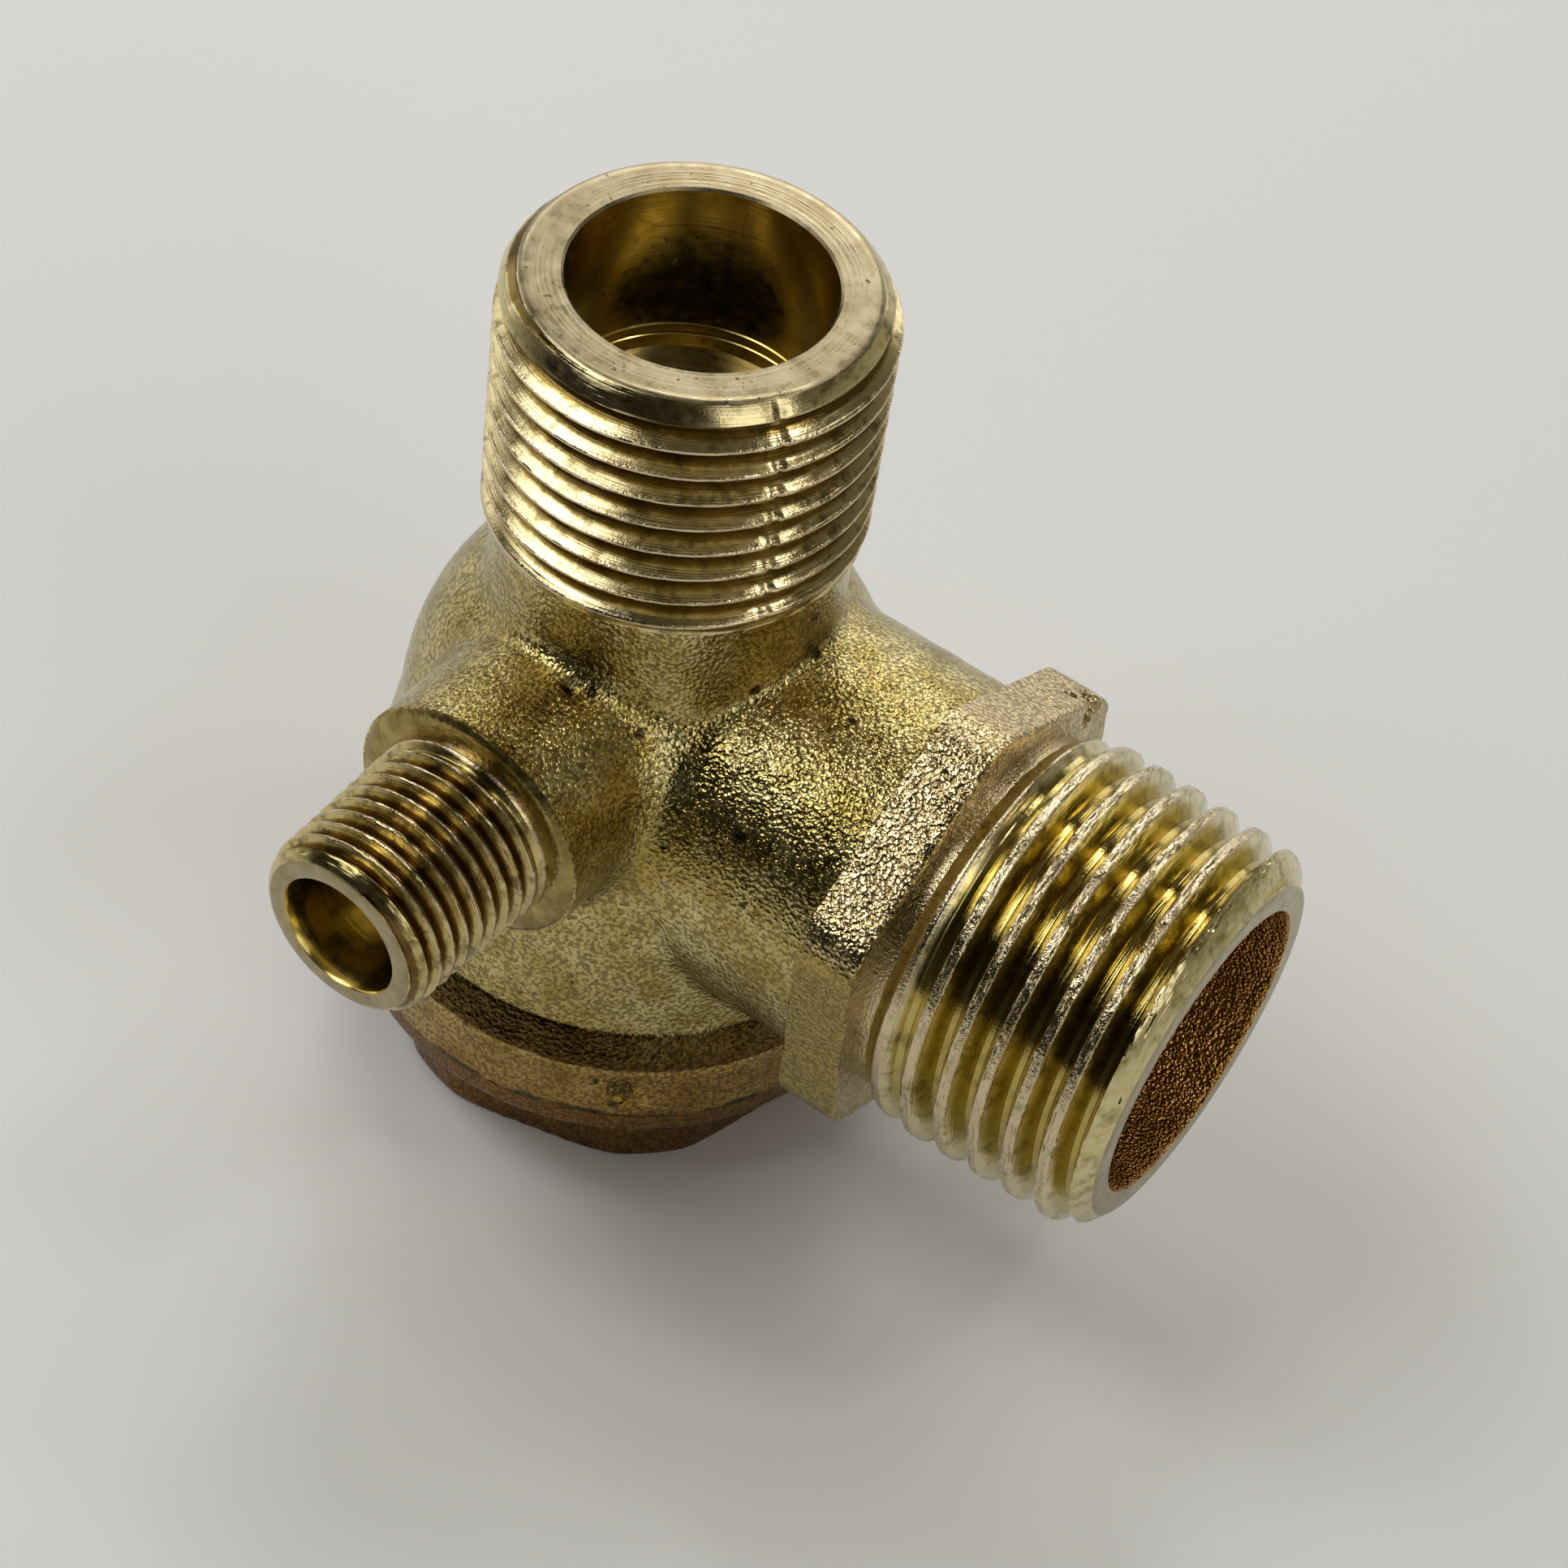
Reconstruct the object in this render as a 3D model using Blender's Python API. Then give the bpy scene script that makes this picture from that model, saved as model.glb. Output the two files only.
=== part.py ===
"""Three-way brass non-return valve for an air compressor: forged body, screw cap and sprung poppet.

The inlet port points up (+Z), the outlet port to +X and the small unloader port to -Y.
The origin is the centre of the cap's underside, on which the valve stands.
"""
import math

import bmesh
import bpy
from mathutils import Matrix, Vector

MM = 0.001

# Clearances
SEAT_GAP = 0.3 * MM
RUNNING_GAP = 0.3 * MM

# Port axes and faces
OUTLET_AXIS_Z = 20.8 * MM
UNLOADER_RISE = 3.95 * MM
INLET_FACE_RISE = 27.55 * MM
OUTLET_FACE_X = 32.1 * MM
UNLOADER_FACE_REACH = 23.35 * MM

# Dome, the tapered wall under it, and the inlet neck
DOME_RADIUS = 12.2 * MM
WALL_TOP_RADIUS = 12.9 * MM
WALL_TOP_Z = 17.5 * MM
NECK_RADIUS = 8.5 * MM
NECK_BASE_RADIUS = 8.1 * MM
NECK_FILLET = 0.6 * MM

# Flange at the foot of the wall
FLANGE_RADIUS = 14.15 * MM
FLANGE_RIM_HEIGHT = 3.3 * MM
FLANGE_CHAMFER_HEIGHT = 1.95 * MM
FLANGE_CHAMFER_WIDTH = 0.95 * MM
FLANGE_WALL = 1.5 * MM

# Inlet port, M18 x 1.5 for a 12 mm tube
INLET_THREAD_DIAMETER = 18.0 * MM
INLET_THREAD_LENGTH = 13.2 * MM
INLET_CHAMFER_LENGTH = 1.7 * MM
INLET_CHAMFER_DEPTH = 1.05 * MM
INLET_BORE_RADIUS = 6.05 * MM
INLET_BORE_DEPTH = 9.2 * MM

# Outlet port, R 1/2 taper thread
OUTLET_TUBE_RADIUS = 9.95 * MM
OUTLET_GAUGE_DIAMETER = 20.8 * MM
OUTLET_GAUGE_LENGTH = 8.2 * MM
OUTLET_THREAD_LENGTH = 11.7 * MM
OUTLET_RELIEF_RADIUS = 9.5 * MM
OUTLET_CHAMFER_LENGTH = 1.4 * MM
OUTLET_FACE_RADIUS = 8.76 * MM
OUTLET_BORE_RADIUS = 7.53 * MM
OUTLET_BORE_DRAFT = 0.3 * MM
OUTLET_BORE_DEPTH = 15.2 * MM
OUTLET_CONE_LENGTH = 1.6 * MM
OUTLET_HOLE_RADIUS = 5.4 * MM

# Hexagonal collar behind the outlet thread
COLLAR_START_X = 16.1 * MM
COLLAR_THICKNESS = 3.15 * MM
COLLAR_ACROSS_FLATS = 21.4 * MM
COLLAR_CORNER_CUT = 0.75 * MM
COLLAR_TURN = math.radians(4.0)
COLLAR_EDGE = 0.3 * MM

# Unloader port, R 1/8 taper thread
UNLOADER_BOSS_RADIUS = 6.25 * MM
UNLOADER_BOSS_ROOT_RADIUS = 6.4 * MM
UNLOADER_SHOULDER_EDGE = 0.35 * MM
UNLOADER_GAUGE_DIAMETER = 9.5 * MM
UNLOADER_GAUGE_LENGTH = 4.0 * MM
UNLOADER_THREAD_LENGTH = 8.8 * MM
UNLOADER_CHAMFER_LENGTH = 0.9 * MM
UNLOADER_FACE_RADIUS = 3.95 * MM
UNLOADER_BORE_RADIUS = 3.07 * MM
UNLOADER_BORE_DEPTH = 6.2 * MM
UNLOADER_CONE_LENGTH = 1.5 * MM
UNLOADER_HOLE_RADIUS = 1.25 * MM

PIPE_TAPER = 1 / 16

# Valve seat and chamber
PASSAGE_RADIUS = 3.9 * MM
SEAT_RISE = 0.2 * MM
SEAT_RIM_WIDTH = 1.0 * MM
SEAT_RIM_HEIGHT = 1.4 * MM
CHAMBER_RADIUS = 7.2 * MM

# Screw cap
CAP_HEX_ACROSS_FLATS = 22.6 * MM
CAP_HEX_CORNER_CUT = 0.95 * MM
CAP_HEX_HEIGHT = 5.2 * MM
CAP_HEX_EDGE = 0.4 * MM
CAP_HEX_TURN = math.radians(-14.7)
CAP_RIM_HEIGHT = 1.2 * MM
CAP_RIM_INSET = 0.1 * MM
CAP_THREAD_INSET = 0.55 * MM
CAP_THREAD_LENGTH = 3.7 * MM
CAP_THREAD_EDGE = 0.5 * MM
CAP_FLOOR = 2.5 * MM
SPRING_WELL_RADIUS = 4.7 * MM
SPRING_WELL_FLOOR = 7.3 * MM

# O-ring between the cap and the flange
O_RING_SECTION = 1.2 * MM

# Poppet, seal and spring
SEAL_RADIUS = 5.2 * MM
SEAL_THICKNESS = 1.8 * MM
SEAL_EDGE = 0.2 * MM
CUP_WALL = 0.6 * MM
CUP_DEPTH = 1.2 * MM
CUP_FLOOR = 1.5 * MM
STEM_RADIUS = 2.0 * MM
STEM_EDGE = 0.4 * MM
VALVE_LIFT = 3.0 * MM
SPRING_OUTER_RADIUS = 4.3 * MM
SPRING_WIRE = 0.6 * MM
SPRING_TURNS = 7
SPRING_POINTS_PER_TURN = 18

# Facets
BODY_SEGMENTS = 48
PORT_SEGMENTS = 40
SMALL_SEGMENTS = 32
O_RING_SECTION_SEGMENTS = 10
DOME_STEPS = 9
FILLET_STEPS = 3
CUT_OVERSHOOT = 1.0 * MM

# Heights and places worked out from the driving dimensions
INLET_FACE_Z = OUTLET_AXIS_Z + INLET_FACE_RISE
INLET_THREAD_START_Z = INLET_FACE_Z - INLET_THREAD_LENGTH
UNLOADER_AXIS_Z = OUTLET_AXIS_Z + UNLOADER_RISE
UNLOADER_SHOULDER_REACH = UNLOADER_FACE_REACH - UNLOADER_THREAD_LENGTH
CAP_RIM_TOP_Z = CAP_HEX_HEIGHT + CAP_RIM_HEIGHT
FLANGE_BOTTOM_Z = CAP_RIM_TOP_Z + SEAT_GAP
FLANGE_TOP_Z = FLANGE_BOTTOM_Z + FLANGE_RIM_HEIGHT + FLANGE_CHAMFER_HEIGHT
FLANGE_TOP_RADIUS = FLANGE_RADIUS - FLANGE_CHAMFER_WIDTH
COUNTERBORE_RADIUS = FLANGE_RADIUS - FLANGE_WALL
O_RING_RADIUS = COUNTERBORE_RADIUS - SEAT_GAP - O_RING_SECTION / 2
O_RING_Z = CAP_RIM_TOP_Z + SEAT_GAP + O_RING_SECTION / 2
COUNTERBORE_TOP_Z = O_RING_Z + O_RING_SECTION / 2 + SEAT_GAP
CAP_RIM_RADIUS = FLANGE_RADIUS - CAP_RIM_INSET
CAP_THREAD_RADIUS = O_RING_RADIUS - CAP_THREAD_INSET
CAP_THREAD_TOP_Z = CAP_RIM_TOP_Z + CAP_THREAD_LENGTH
CAP_BORE_RADIUS = CAP_THREAD_RADIUS + SEAT_GAP
CAP_BORE_TOP_Z = CAP_THREAD_TOP_Z + SEAT_GAP
CAP_UNDERCUT_RADIUS = O_RING_RADIUS - O_RING_SECTION / 2 - SEAT_GAP
SEAT_Z = OUTLET_AXIS_Z + SEAT_RISE
CEILING_Z = SEAT_Z + SEAT_RIM_HEIGHT
SEAL_TOP_Z = SEAT_Z - SEAT_GAP
SEAL_BOTTOM_Z = SEAL_TOP_Z - SEAL_THICKNESS
CUP_TOP_Z = SEAL_BOTTOM_Z + CUP_DEPTH
CUP_FLOOR_Z = SEAL_BOTTOM_Z - SEAT_GAP
CUP_BOTTOM_Z = CUP_FLOOR_Z - CUP_FLOOR
CUP_INNER_RADIUS = SEAL_RADIUS + SEAT_GAP
CUP_OUTER_RADIUS = CUP_INNER_RADIUS + CUP_WALL
STEM_BOTTOM_Z = CAP_FLOOR + SEAT_GAP + VALVE_LIFT
GUIDE_RADIUS = STEM_RADIUS + RUNNING_GAP
SPRING_BOTTOM_Z = SPRING_WELL_FLOOR + SEAT_GAP
SPRING_TOP_Z = CUP_BOTTOM_Z - SEAT_GAP

# Colours
BODY_BRASS = (0.74, 0.66, 0.42)
CAP_BRASS = (0.62, 0.52, 0.32)
TURNED_BRASS = (0.78, 0.66, 0.36)
O_RING_RUBBER = (0.03, 0.03, 0.03)
SEAL_RUBBER = (0.04, 0.04, 0.04)
SPRING_STEEL = (0.6, 0.61, 0.62)


def clear_scene():
    for old in list(bpy.data.objects):
        bpy.data.objects.remove(old, do_unlink=True)


def make_material(name, colour, metallic, roughness):
    material = bpy.data.materials.new(name)
    material.use_nodes = True
    shader = material.node_tree.nodes["Principled BSDF"]
    shader.inputs["Base Color"].default_value = (*colour, 1.0)
    shader.inputs["Metallic"].default_value = metallic
    shader.inputs["Roughness"].default_value = roughness
    material.diffuse_color = (*colour, 1.0)
    return material


def add_object(name, mesh, material):
    thing = bpy.data.objects.new(name, mesh)
    bpy.context.scene.collection.objects.link(thing)
    thing.data.materials.append(material)
    return thing


def shade(mesh):
    mesh.shade_smooth()
    mesh.set_sharp_from_angle(angle=math.radians(30))


def arc(centre, radius, start, end, steps):
    """Points of an arc from angle start to angle end, both ends included."""
    points = []
    for step in range(steps + 1):
        angle = start + (end - start) * step / steps
        points.append((centre[0] + radius * math.cos(angle), centre[1] + radius * math.sin(angle)))
    return points


def turn_mesh(name, profile, segments, axis_matrix):
    """Spin an open (radius, height) profile that starts and ends on the axis into a closed solid."""
    work = bmesh.new()
    rings = []
    for radius, height in profile:
        if radius <= 0:
            rings.append([work.verts.new((0, 0, height))])
            continue
        ring = []
        for segment in range(segments):
            angle = 2 * math.pi * segment / segments
            ring.append(work.verts.new((radius * math.cos(angle), radius * math.sin(angle), height)))
        rings.append(ring)
    for lower, upper in zip(rings, rings[1:]):
        join_rings(work, lower, upper, segments)
    return finish_mesh(name, work, axis_matrix)


def join_rings(work, lower, upper, segments):
    for segment in range(segments):
        following = (segment + 1) % segments
        if len(lower) == 1:
            work.faces.new((lower[0], upper[following], upper[segment]))
        elif len(upper) == 1:
            work.faces.new((lower[segment], lower[following], upper[0]))
        else:
            work.faces.new((lower[segment], lower[following], upper[following], upper[segment]))


def finish_mesh(name, work, axis_matrix):
    bmesh.ops.transform(work, matrix=axis_matrix, verts=work.verts)
    bmesh.ops.recalc_face_normals(work, faces=work.faces)
    mesh = bpy.data.meshes.new(name)
    work.to_mesh(mesh)
    work.free()
    shade(mesh)
    return mesh


def hexagon(across_flats, corner_cut, turn):
    """Hexagon outline with its corners turned down by corner_cut."""
    half_flat = across_flats / 2
    corner_radius = half_flat / math.cos(math.pi / 6) - corner_cut
    half_angle = math.acos(half_flat / corner_radius)
    points = []
    for side in range(6):
        middle = turn + side * math.pi / 3
        for angle in (middle - half_angle, middle + half_angle, middle + math.pi / 6):
            points.append((corner_radius * math.cos(angle), corner_radius * math.sin(angle)))
    return points


def prism_mesh(name, outline, bottom, top, edge, axis_matrix):
    """Prism along Z with its outline drawn in by edge at both ends."""
    reach = max(math.hypot(*point) for point in outline)
    drawn_in = (reach - edge) / reach
    work = bmesh.new()
    rings = []
    for height, scale in ((bottom, drawn_in), (bottom + edge, 1), (top - edge, 1), (top, drawn_in)):
        rings.append([work.verts.new((x * scale, y * scale, height)) for x, y in outline])
    for lower, upper in zip(rings, rings[1:]):
        join_rings(work, lower, upper, len(outline))
    work.faces.new(rings[0])
    work.faces.new(rings[-1])
    return finish_mesh(name, work, axis_matrix)


def along_z():
    return Matrix.Identity(4)


def along_x(height):
    """Turn a mesh made along +Z so that it runs along +X at the given height."""
    return Matrix.Translation((0, 0, height)) @ Matrix.Rotation(math.pi / 2, 4, "Y")


def along_minus_y(height):
    """Turn a mesh made along +Z so that it runs along -Y at the given height."""
    return Matrix.Translation((0, 0, height)) @ Matrix.Rotation(math.pi / 2, 4, "X")


def combine(target, tool_mesh, operation):
    """Add or cut a tool with a Boolean modifier; the tool stays hidden until settle removes it."""
    tool = bpy.data.objects.new(tool_mesh.name, tool_mesh)
    bpy.context.scene.collection.objects.link(tool)
    tool.hide_render = True
    tool.display_type = "WIRE"
    modifier = target.modifiers.new(tool_mesh.name, "BOOLEAN")
    modifier.operation = operation
    modifier.solver = "EXACT"
    modifier.object = tool


def settle(thing):
    """Apply the Booleans and remove their tools, then shade the result by its angles."""
    depsgraph = bpy.context.evaluated_depsgraph_get()
    settled = bpy.data.meshes.new_from_object(thing.evaluated_get(depsgraph))
    tools = [modifier.object for modifier in thing.modifiers]
    thing.modifiers.clear()
    thing.data = settled
    for tool in tools:
        bpy.data.objects.remove(tool, do_unlink=True)
    shade(settled)


def neck_fillet():
    """Arc from the dome up to the inlet neck, tangent to both."""
    centre_r = NECK_BASE_RADIUS + NECK_FILLET
    rise = math.sqrt((DOME_RADIUS + NECK_FILLET) ** 2 - centre_r ** 2)
    start = math.atan2(-rise, -centre_r) + 2 * math.pi
    return arc((centre_r, OUTLET_AXIS_Z + rise), NECK_FILLET, start, math.pi, FILLET_STEPS)


def dome_arc(high_point):
    """Quarter of the dome from its widest height up to a point on it, which is left out."""
    end = math.atan2(high_point[1] - OUTLET_AXIS_Z, high_point[0])
    return arc((0, OUTLET_AXIS_Z), DOME_RADIUS, 0, end, DOME_STEPS)[:-1]


def upright_profile():
    """Flange, tapered wall, dome, neck and inlet thread, turned about the Z axis."""
    crest = INLET_THREAD_DIAMETER / 2
    fillet = neck_fillet()
    step = crest - NECK_RADIUS
    profile = [
        (0, FLANGE_BOTTOM_Z),
        (FLANGE_RADIUS, FLANGE_BOTTOM_Z),
        (FLANGE_RADIUS, FLANGE_BOTTOM_Z + FLANGE_RIM_HEIGHT),
        (FLANGE_TOP_RADIUS, FLANGE_TOP_Z),
        (WALL_TOP_RADIUS, WALL_TOP_Z),
    ]
    profile += dome_arc(fillet[0])
    profile += fillet
    profile += [
        (NECK_RADIUS, INLET_THREAD_START_Z - step),
        (crest, INLET_THREAD_START_Z),
        (crest, INLET_FACE_Z - INLET_CHAMFER_LENGTH),
        (crest - INLET_CHAMFER_DEPTH, INLET_FACE_Z),
        (0, INLET_FACE_Z),
    ]
    return profile


def taper_radius(gauge_diameter, gauge_length, distance_from_face):
    """Crest radius of a pipe thread at a distance from its small end."""
    return gauge_diameter / 2 - (gauge_length - distance_from_face) * PIPE_TAPER / 2


def outlet_profile():
    """Tube, relief and taper thread of the outlet, from the dome's centre to the face."""
    start = OUTLET_FACE_X - OUTLET_THREAD_LENGTH
    start_crest = taper_radius(OUTLET_GAUGE_DIAMETER, OUTLET_GAUGE_LENGTH, OUTLET_THREAD_LENGTH)
    end_crest = taper_radius(OUTLET_GAUGE_DIAMETER, OUTLET_GAUGE_LENGTH, OUTLET_CHAMFER_LENGTH)
    collar_middle = COLLAR_START_X + COLLAR_THICKNESS / 2
    return [
        (0, 0),
        (OUTLET_TUBE_RADIUS, 0),
        (OUTLET_TUBE_RADIUS, collar_middle),
        (OUTLET_RELIEF_RADIUS, collar_middle),
        (OUTLET_RELIEF_RADIUS, start - (start_crest - OUTLET_RELIEF_RADIUS) / 2),
        (start_crest, start + (start_crest - OUTLET_RELIEF_RADIUS) / 2),
        (end_crest, OUTLET_FACE_X - OUTLET_CHAMFER_LENGTH),
        (OUTLET_FACE_RADIUS, OUTLET_FACE_X),
        (0, OUTLET_FACE_X),
    ]


def unloader_profile():
    """Boss, shoulder and taper thread of the unloader port, from the Z axis outwards."""
    start = UNLOADER_SHOULDER_REACH
    start_crest = taper_radius(UNLOADER_GAUGE_DIAMETER, UNLOADER_GAUGE_LENGTH, UNLOADER_THREAD_LENGTH)
    end_crest = taper_radius(UNLOADER_GAUGE_DIAMETER, UNLOADER_GAUGE_LENGTH, UNLOADER_CHAMFER_LENGTH)
    return [
        (0, 0),
        (UNLOADER_BOSS_ROOT_RADIUS, 0),
        (UNLOADER_BOSS_RADIUS, start - UNLOADER_SHOULDER_EDGE),
        (UNLOADER_BOSS_RADIUS - UNLOADER_SHOULDER_EDGE, start),
        (start_crest, start),
        (end_crest, UNLOADER_FACE_REACH - UNLOADER_CHAMFER_LENGTH),
        (UNLOADER_FACE_RADIUS, UNLOADER_FACE_REACH),
        (0, UNLOADER_FACE_REACH),
    ]


def upright_bore_profile():
    """Inlet bore, passage, seat rim, valve chamber and cap bore, turned about the Z axis."""
    floor = INLET_FACE_Z - INLET_BORE_DEPTH
    return [
        (0, FLANGE_BOTTOM_Z - CUT_OVERSHOOT),
        (COUNTERBORE_RADIUS, FLANGE_BOTTOM_Z - CUT_OVERSHOOT),
        (COUNTERBORE_RADIUS, COUNTERBORE_TOP_Z),
        (CAP_BORE_RADIUS, COUNTERBORE_TOP_Z),
        (CAP_BORE_RADIUS, CAP_BORE_TOP_Z),
        (CHAMBER_RADIUS, CAP_BORE_TOP_Z),
        (CHAMBER_RADIUS, CEILING_Z),
        (PASSAGE_RADIUS + SEAT_RIM_WIDTH, CEILING_Z),
        (PASSAGE_RADIUS + SEAT_RIM_WIDTH, SEAT_Z),
        (PASSAGE_RADIUS, SEAT_Z),
        (PASSAGE_RADIUS, floor),
        (INLET_BORE_RADIUS, floor),
        (INLET_BORE_RADIUS, INLET_FACE_Z + CUT_OVERSHOOT),
        (0, INLET_FACE_Z + CUT_OVERSHOOT),
    ]


def outlet_bore_profile():
    """Forged outlet bore, narrowing to the hole that opens into the valve chamber."""
    neck = OUTLET_FACE_X - OUTLET_BORE_DEPTH
    return [
        (0, CHAMBER_RADIUS - CUT_OVERSHOOT),
        (OUTLET_HOLE_RADIUS, CHAMBER_RADIUS - CUT_OVERSHOOT),
        (OUTLET_HOLE_RADIUS, neck - OUTLET_CONE_LENGTH),
        (OUTLET_BORE_RADIUS - OUTLET_BORE_DRAFT, neck),
        (OUTLET_BORE_RADIUS, OUTLET_FACE_X),
        (OUTLET_BORE_RADIUS, OUTLET_FACE_X + CUT_OVERSHOOT),
        (0, OUTLET_FACE_X + CUT_OVERSHOOT),
    ]


def unloader_bore_profile():
    """Unloader bore, narrowing to the small hole into the passage above the seat."""
    neck = UNLOADER_FACE_REACH - UNLOADER_BORE_DEPTH
    return [
        (0, PASSAGE_RADIUS - CUT_OVERSHOOT),
        (UNLOADER_HOLE_RADIUS, PASSAGE_RADIUS - CUT_OVERSHOOT),
        (UNLOADER_HOLE_RADIUS, neck - UNLOADER_CONE_LENGTH),
        (UNLOADER_BORE_RADIUS, neck),
        (UNLOADER_BORE_RADIUS, UNLOADER_FACE_REACH + CUT_OVERSHOOT),
        (0, UNLOADER_FACE_REACH + CUT_OVERSHOOT),
    ]


def collar_mesh():
    """Hexagonal collar with two flats facing +Y and -Y, turned a little about the outlet's axis."""
    outline = hexagon(COLLAR_ACROSS_FLATS, COLLAR_CORNER_CUT, math.pi / 2 + COLLAR_TURN)
    end = COLLAR_START_X + COLLAR_THICKNESS
    return prism_mesh("collar_form", outline, COLLAR_START_X, end, COLLAR_EDGE, along_x(OUTLET_AXIS_Z))


def build_body(material):
    upright = turn_mesh("body", upright_profile(), BODY_SEGMENTS, along_z())
    body = add_object("body", upright, material)
    to_outlet = along_x(OUTLET_AXIS_Z)
    to_unloader = along_minus_y(UNLOADER_AXIS_Z)
    combine(body, turn_mesh("outlet_form", outlet_profile(), PORT_SEGMENTS, to_outlet), "UNION")
    combine(body, collar_mesh(), "UNION")
    combine(body, turn_mesh("unloader_form", unloader_profile(), SMALL_SEGMENTS, to_unloader), "UNION")
    combine(body, turn_mesh("upright_bore", upright_bore_profile(), PORT_SEGMENTS, along_z()), "DIFFERENCE")
    outlet_bore = turn_mesh("outlet_bore", outlet_bore_profile(), SMALL_SEGMENTS, to_outlet)
    combine(body, outlet_bore, "DIFFERENCE")
    unloader_bore = turn_mesh("unloader_bore", unloader_bore_profile(), SMALL_SEGMENTS, to_unloader)
    combine(body, unloader_bore, "DIFFERENCE")
    settle(body)


def cap_spigot_profile():
    """Rim, O-ring undercut and screw spigot of the cap."""
    return [
        (0, CAP_HEX_HEIGHT),
        (CAP_RIM_RADIUS, CAP_HEX_HEIGHT),
        (CAP_RIM_RADIUS, CAP_RIM_TOP_Z),
        (CAP_UNDERCUT_RADIUS, CAP_RIM_TOP_Z),
        (CAP_UNDERCUT_RADIUS, COUNTERBORE_TOP_Z),
        (CAP_THREAD_RADIUS, COUNTERBORE_TOP_Z),
        (CAP_THREAD_RADIUS, CAP_THREAD_TOP_Z - CAP_THREAD_EDGE),
        (CAP_THREAD_RADIUS - CAP_THREAD_EDGE, CAP_THREAD_TOP_Z),
        (0, CAP_THREAD_TOP_Z),
    ]


def cap_well_profile():
    """Guide hole for the poppet's stem, under the well that holds the spring."""
    return [
        (0, CAP_FLOOR),
        (GUIDE_RADIUS, CAP_FLOOR),
        (GUIDE_RADIUS, SPRING_WELL_FLOOR),
        (SPRING_WELL_RADIUS, SPRING_WELL_FLOOR),
        (SPRING_WELL_RADIUS, CAP_THREAD_TOP_Z + CUT_OVERSHOOT),
        (0, CAP_THREAD_TOP_Z + CUT_OVERSHOOT),
    ]


def build_cap(material):
    """The hexagon reaches into the turned rim above it, so the two join into one solid."""
    outline = hexagon(CAP_HEX_ACROSS_FLATS, CAP_HEX_CORNER_CUT, CAP_HEX_TURN)
    hex_form = prism_mesh("cap", outline, 0, CAP_HEX_HEIGHT + CAP_RIM_HEIGHT / 2, CAP_HEX_EDGE, along_z())
    cap = add_object("cap", hex_form, material)
    spigot = turn_mesh("cap_spigot", cap_spigot_profile(), PORT_SEGMENTS, along_z())
    combine(cap, spigot, "UNION")
    well = turn_mesh("cap_well", cap_well_profile(), SMALL_SEGMENTS, along_z())
    combine(cap, well, "DIFFERENCE")
    settle(cap)


def build_o_ring(material):
    work = bmesh.new()
    rings = []
    for segment in range(BODY_SEGMENTS):
        turn = Matrix.Rotation(2 * math.pi * segment / BODY_SEGMENTS, 4, "Z")
        section = arc((O_RING_RADIUS, O_RING_Z), O_RING_SECTION / 2, 0, 2 * math.pi, O_RING_SECTION_SEGMENTS)
        rings.append([work.verts.new(turn @ Vector((r, 0, z))) for r, z in section[:-1]])
    for ring, following in zip(rings, rings[1:] + rings[:1]):
        join_rings(work, ring, following, O_RING_SECTION_SEGMENTS)
    add_object("cap_o_ring", finish_mesh("cap_o_ring", work, along_z()), material)


def build_valve_holder(material):
    """Poppet: a cup for the rubber disc on a guide stem. It slides down the Z axis to open."""
    profile = [
        (0, STEM_BOTTOM_Z),
        (STEM_RADIUS - STEM_EDGE, STEM_BOTTOM_Z),
        (STEM_RADIUS, STEM_BOTTOM_Z + STEM_EDGE),
        (STEM_RADIUS, CUP_BOTTOM_Z),
        (CUP_OUTER_RADIUS, CUP_BOTTOM_Z),
        (CUP_OUTER_RADIUS, CUP_TOP_Z),
        (CUP_INNER_RADIUS, CUP_TOP_Z),
        (CUP_INNER_RADIUS, CUP_FLOOR_Z),
        (0, CUP_FLOOR_Z),
    ]
    add_object("valve_holder", turn_mesh("valve_holder", profile, SMALL_SEGMENTS, along_z()), material)


def build_seal_disc(material):
    profile = [
        (0, SEAL_BOTTOM_Z),
        (SEAL_RADIUS, SEAL_BOTTOM_Z),
        (SEAL_RADIUS, SEAL_TOP_Z - SEAL_EDGE),
        (SEAL_RADIUS - SEAL_EDGE, SEAL_TOP_Z),
        (0, SEAL_TOP_Z),
    ]
    add_object("seal_disc", turn_mesh("seal_disc", profile, SMALL_SEGMENTS, along_z()), material)


def build_spring(material):
    """Compression spring round the stem, from the floor of the cap's well to the cup's underside."""
    coil_radius = SPRING_OUTER_RADIUS - SPRING_WIRE / 2
    bottom = SPRING_BOTTOM_Z + SPRING_WIRE / 2
    top = SPRING_TOP_Z - SPRING_WIRE / 2
    count = SPRING_TURNS * SPRING_POINTS_PER_TURN
    curve = bpy.data.curves.new("return_spring", "CURVE")
    curve.dimensions = "3D"
    curve.bevel_depth = SPRING_WIRE / 2
    curve.bevel_resolution = 2
    curve.use_fill_caps = True
    spline = curve.splines.new("POLY")
    spline.points.add(count)
    for step in range(count + 1):
        share = step / count
        angle = 2 * math.pi * step / SPRING_POINTS_PER_TURN
        height = bottom + (top - bottom) * share
        x = coil_radius * math.cos(angle)
        y = coil_radius * math.sin(angle)
        spline.points[step].co = (x, y, height, 1.0)
    spring = bpy.data.objects.new("return_spring", curve)
    bpy.context.scene.collection.objects.link(spring)
    curve.materials.append(material)


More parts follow.
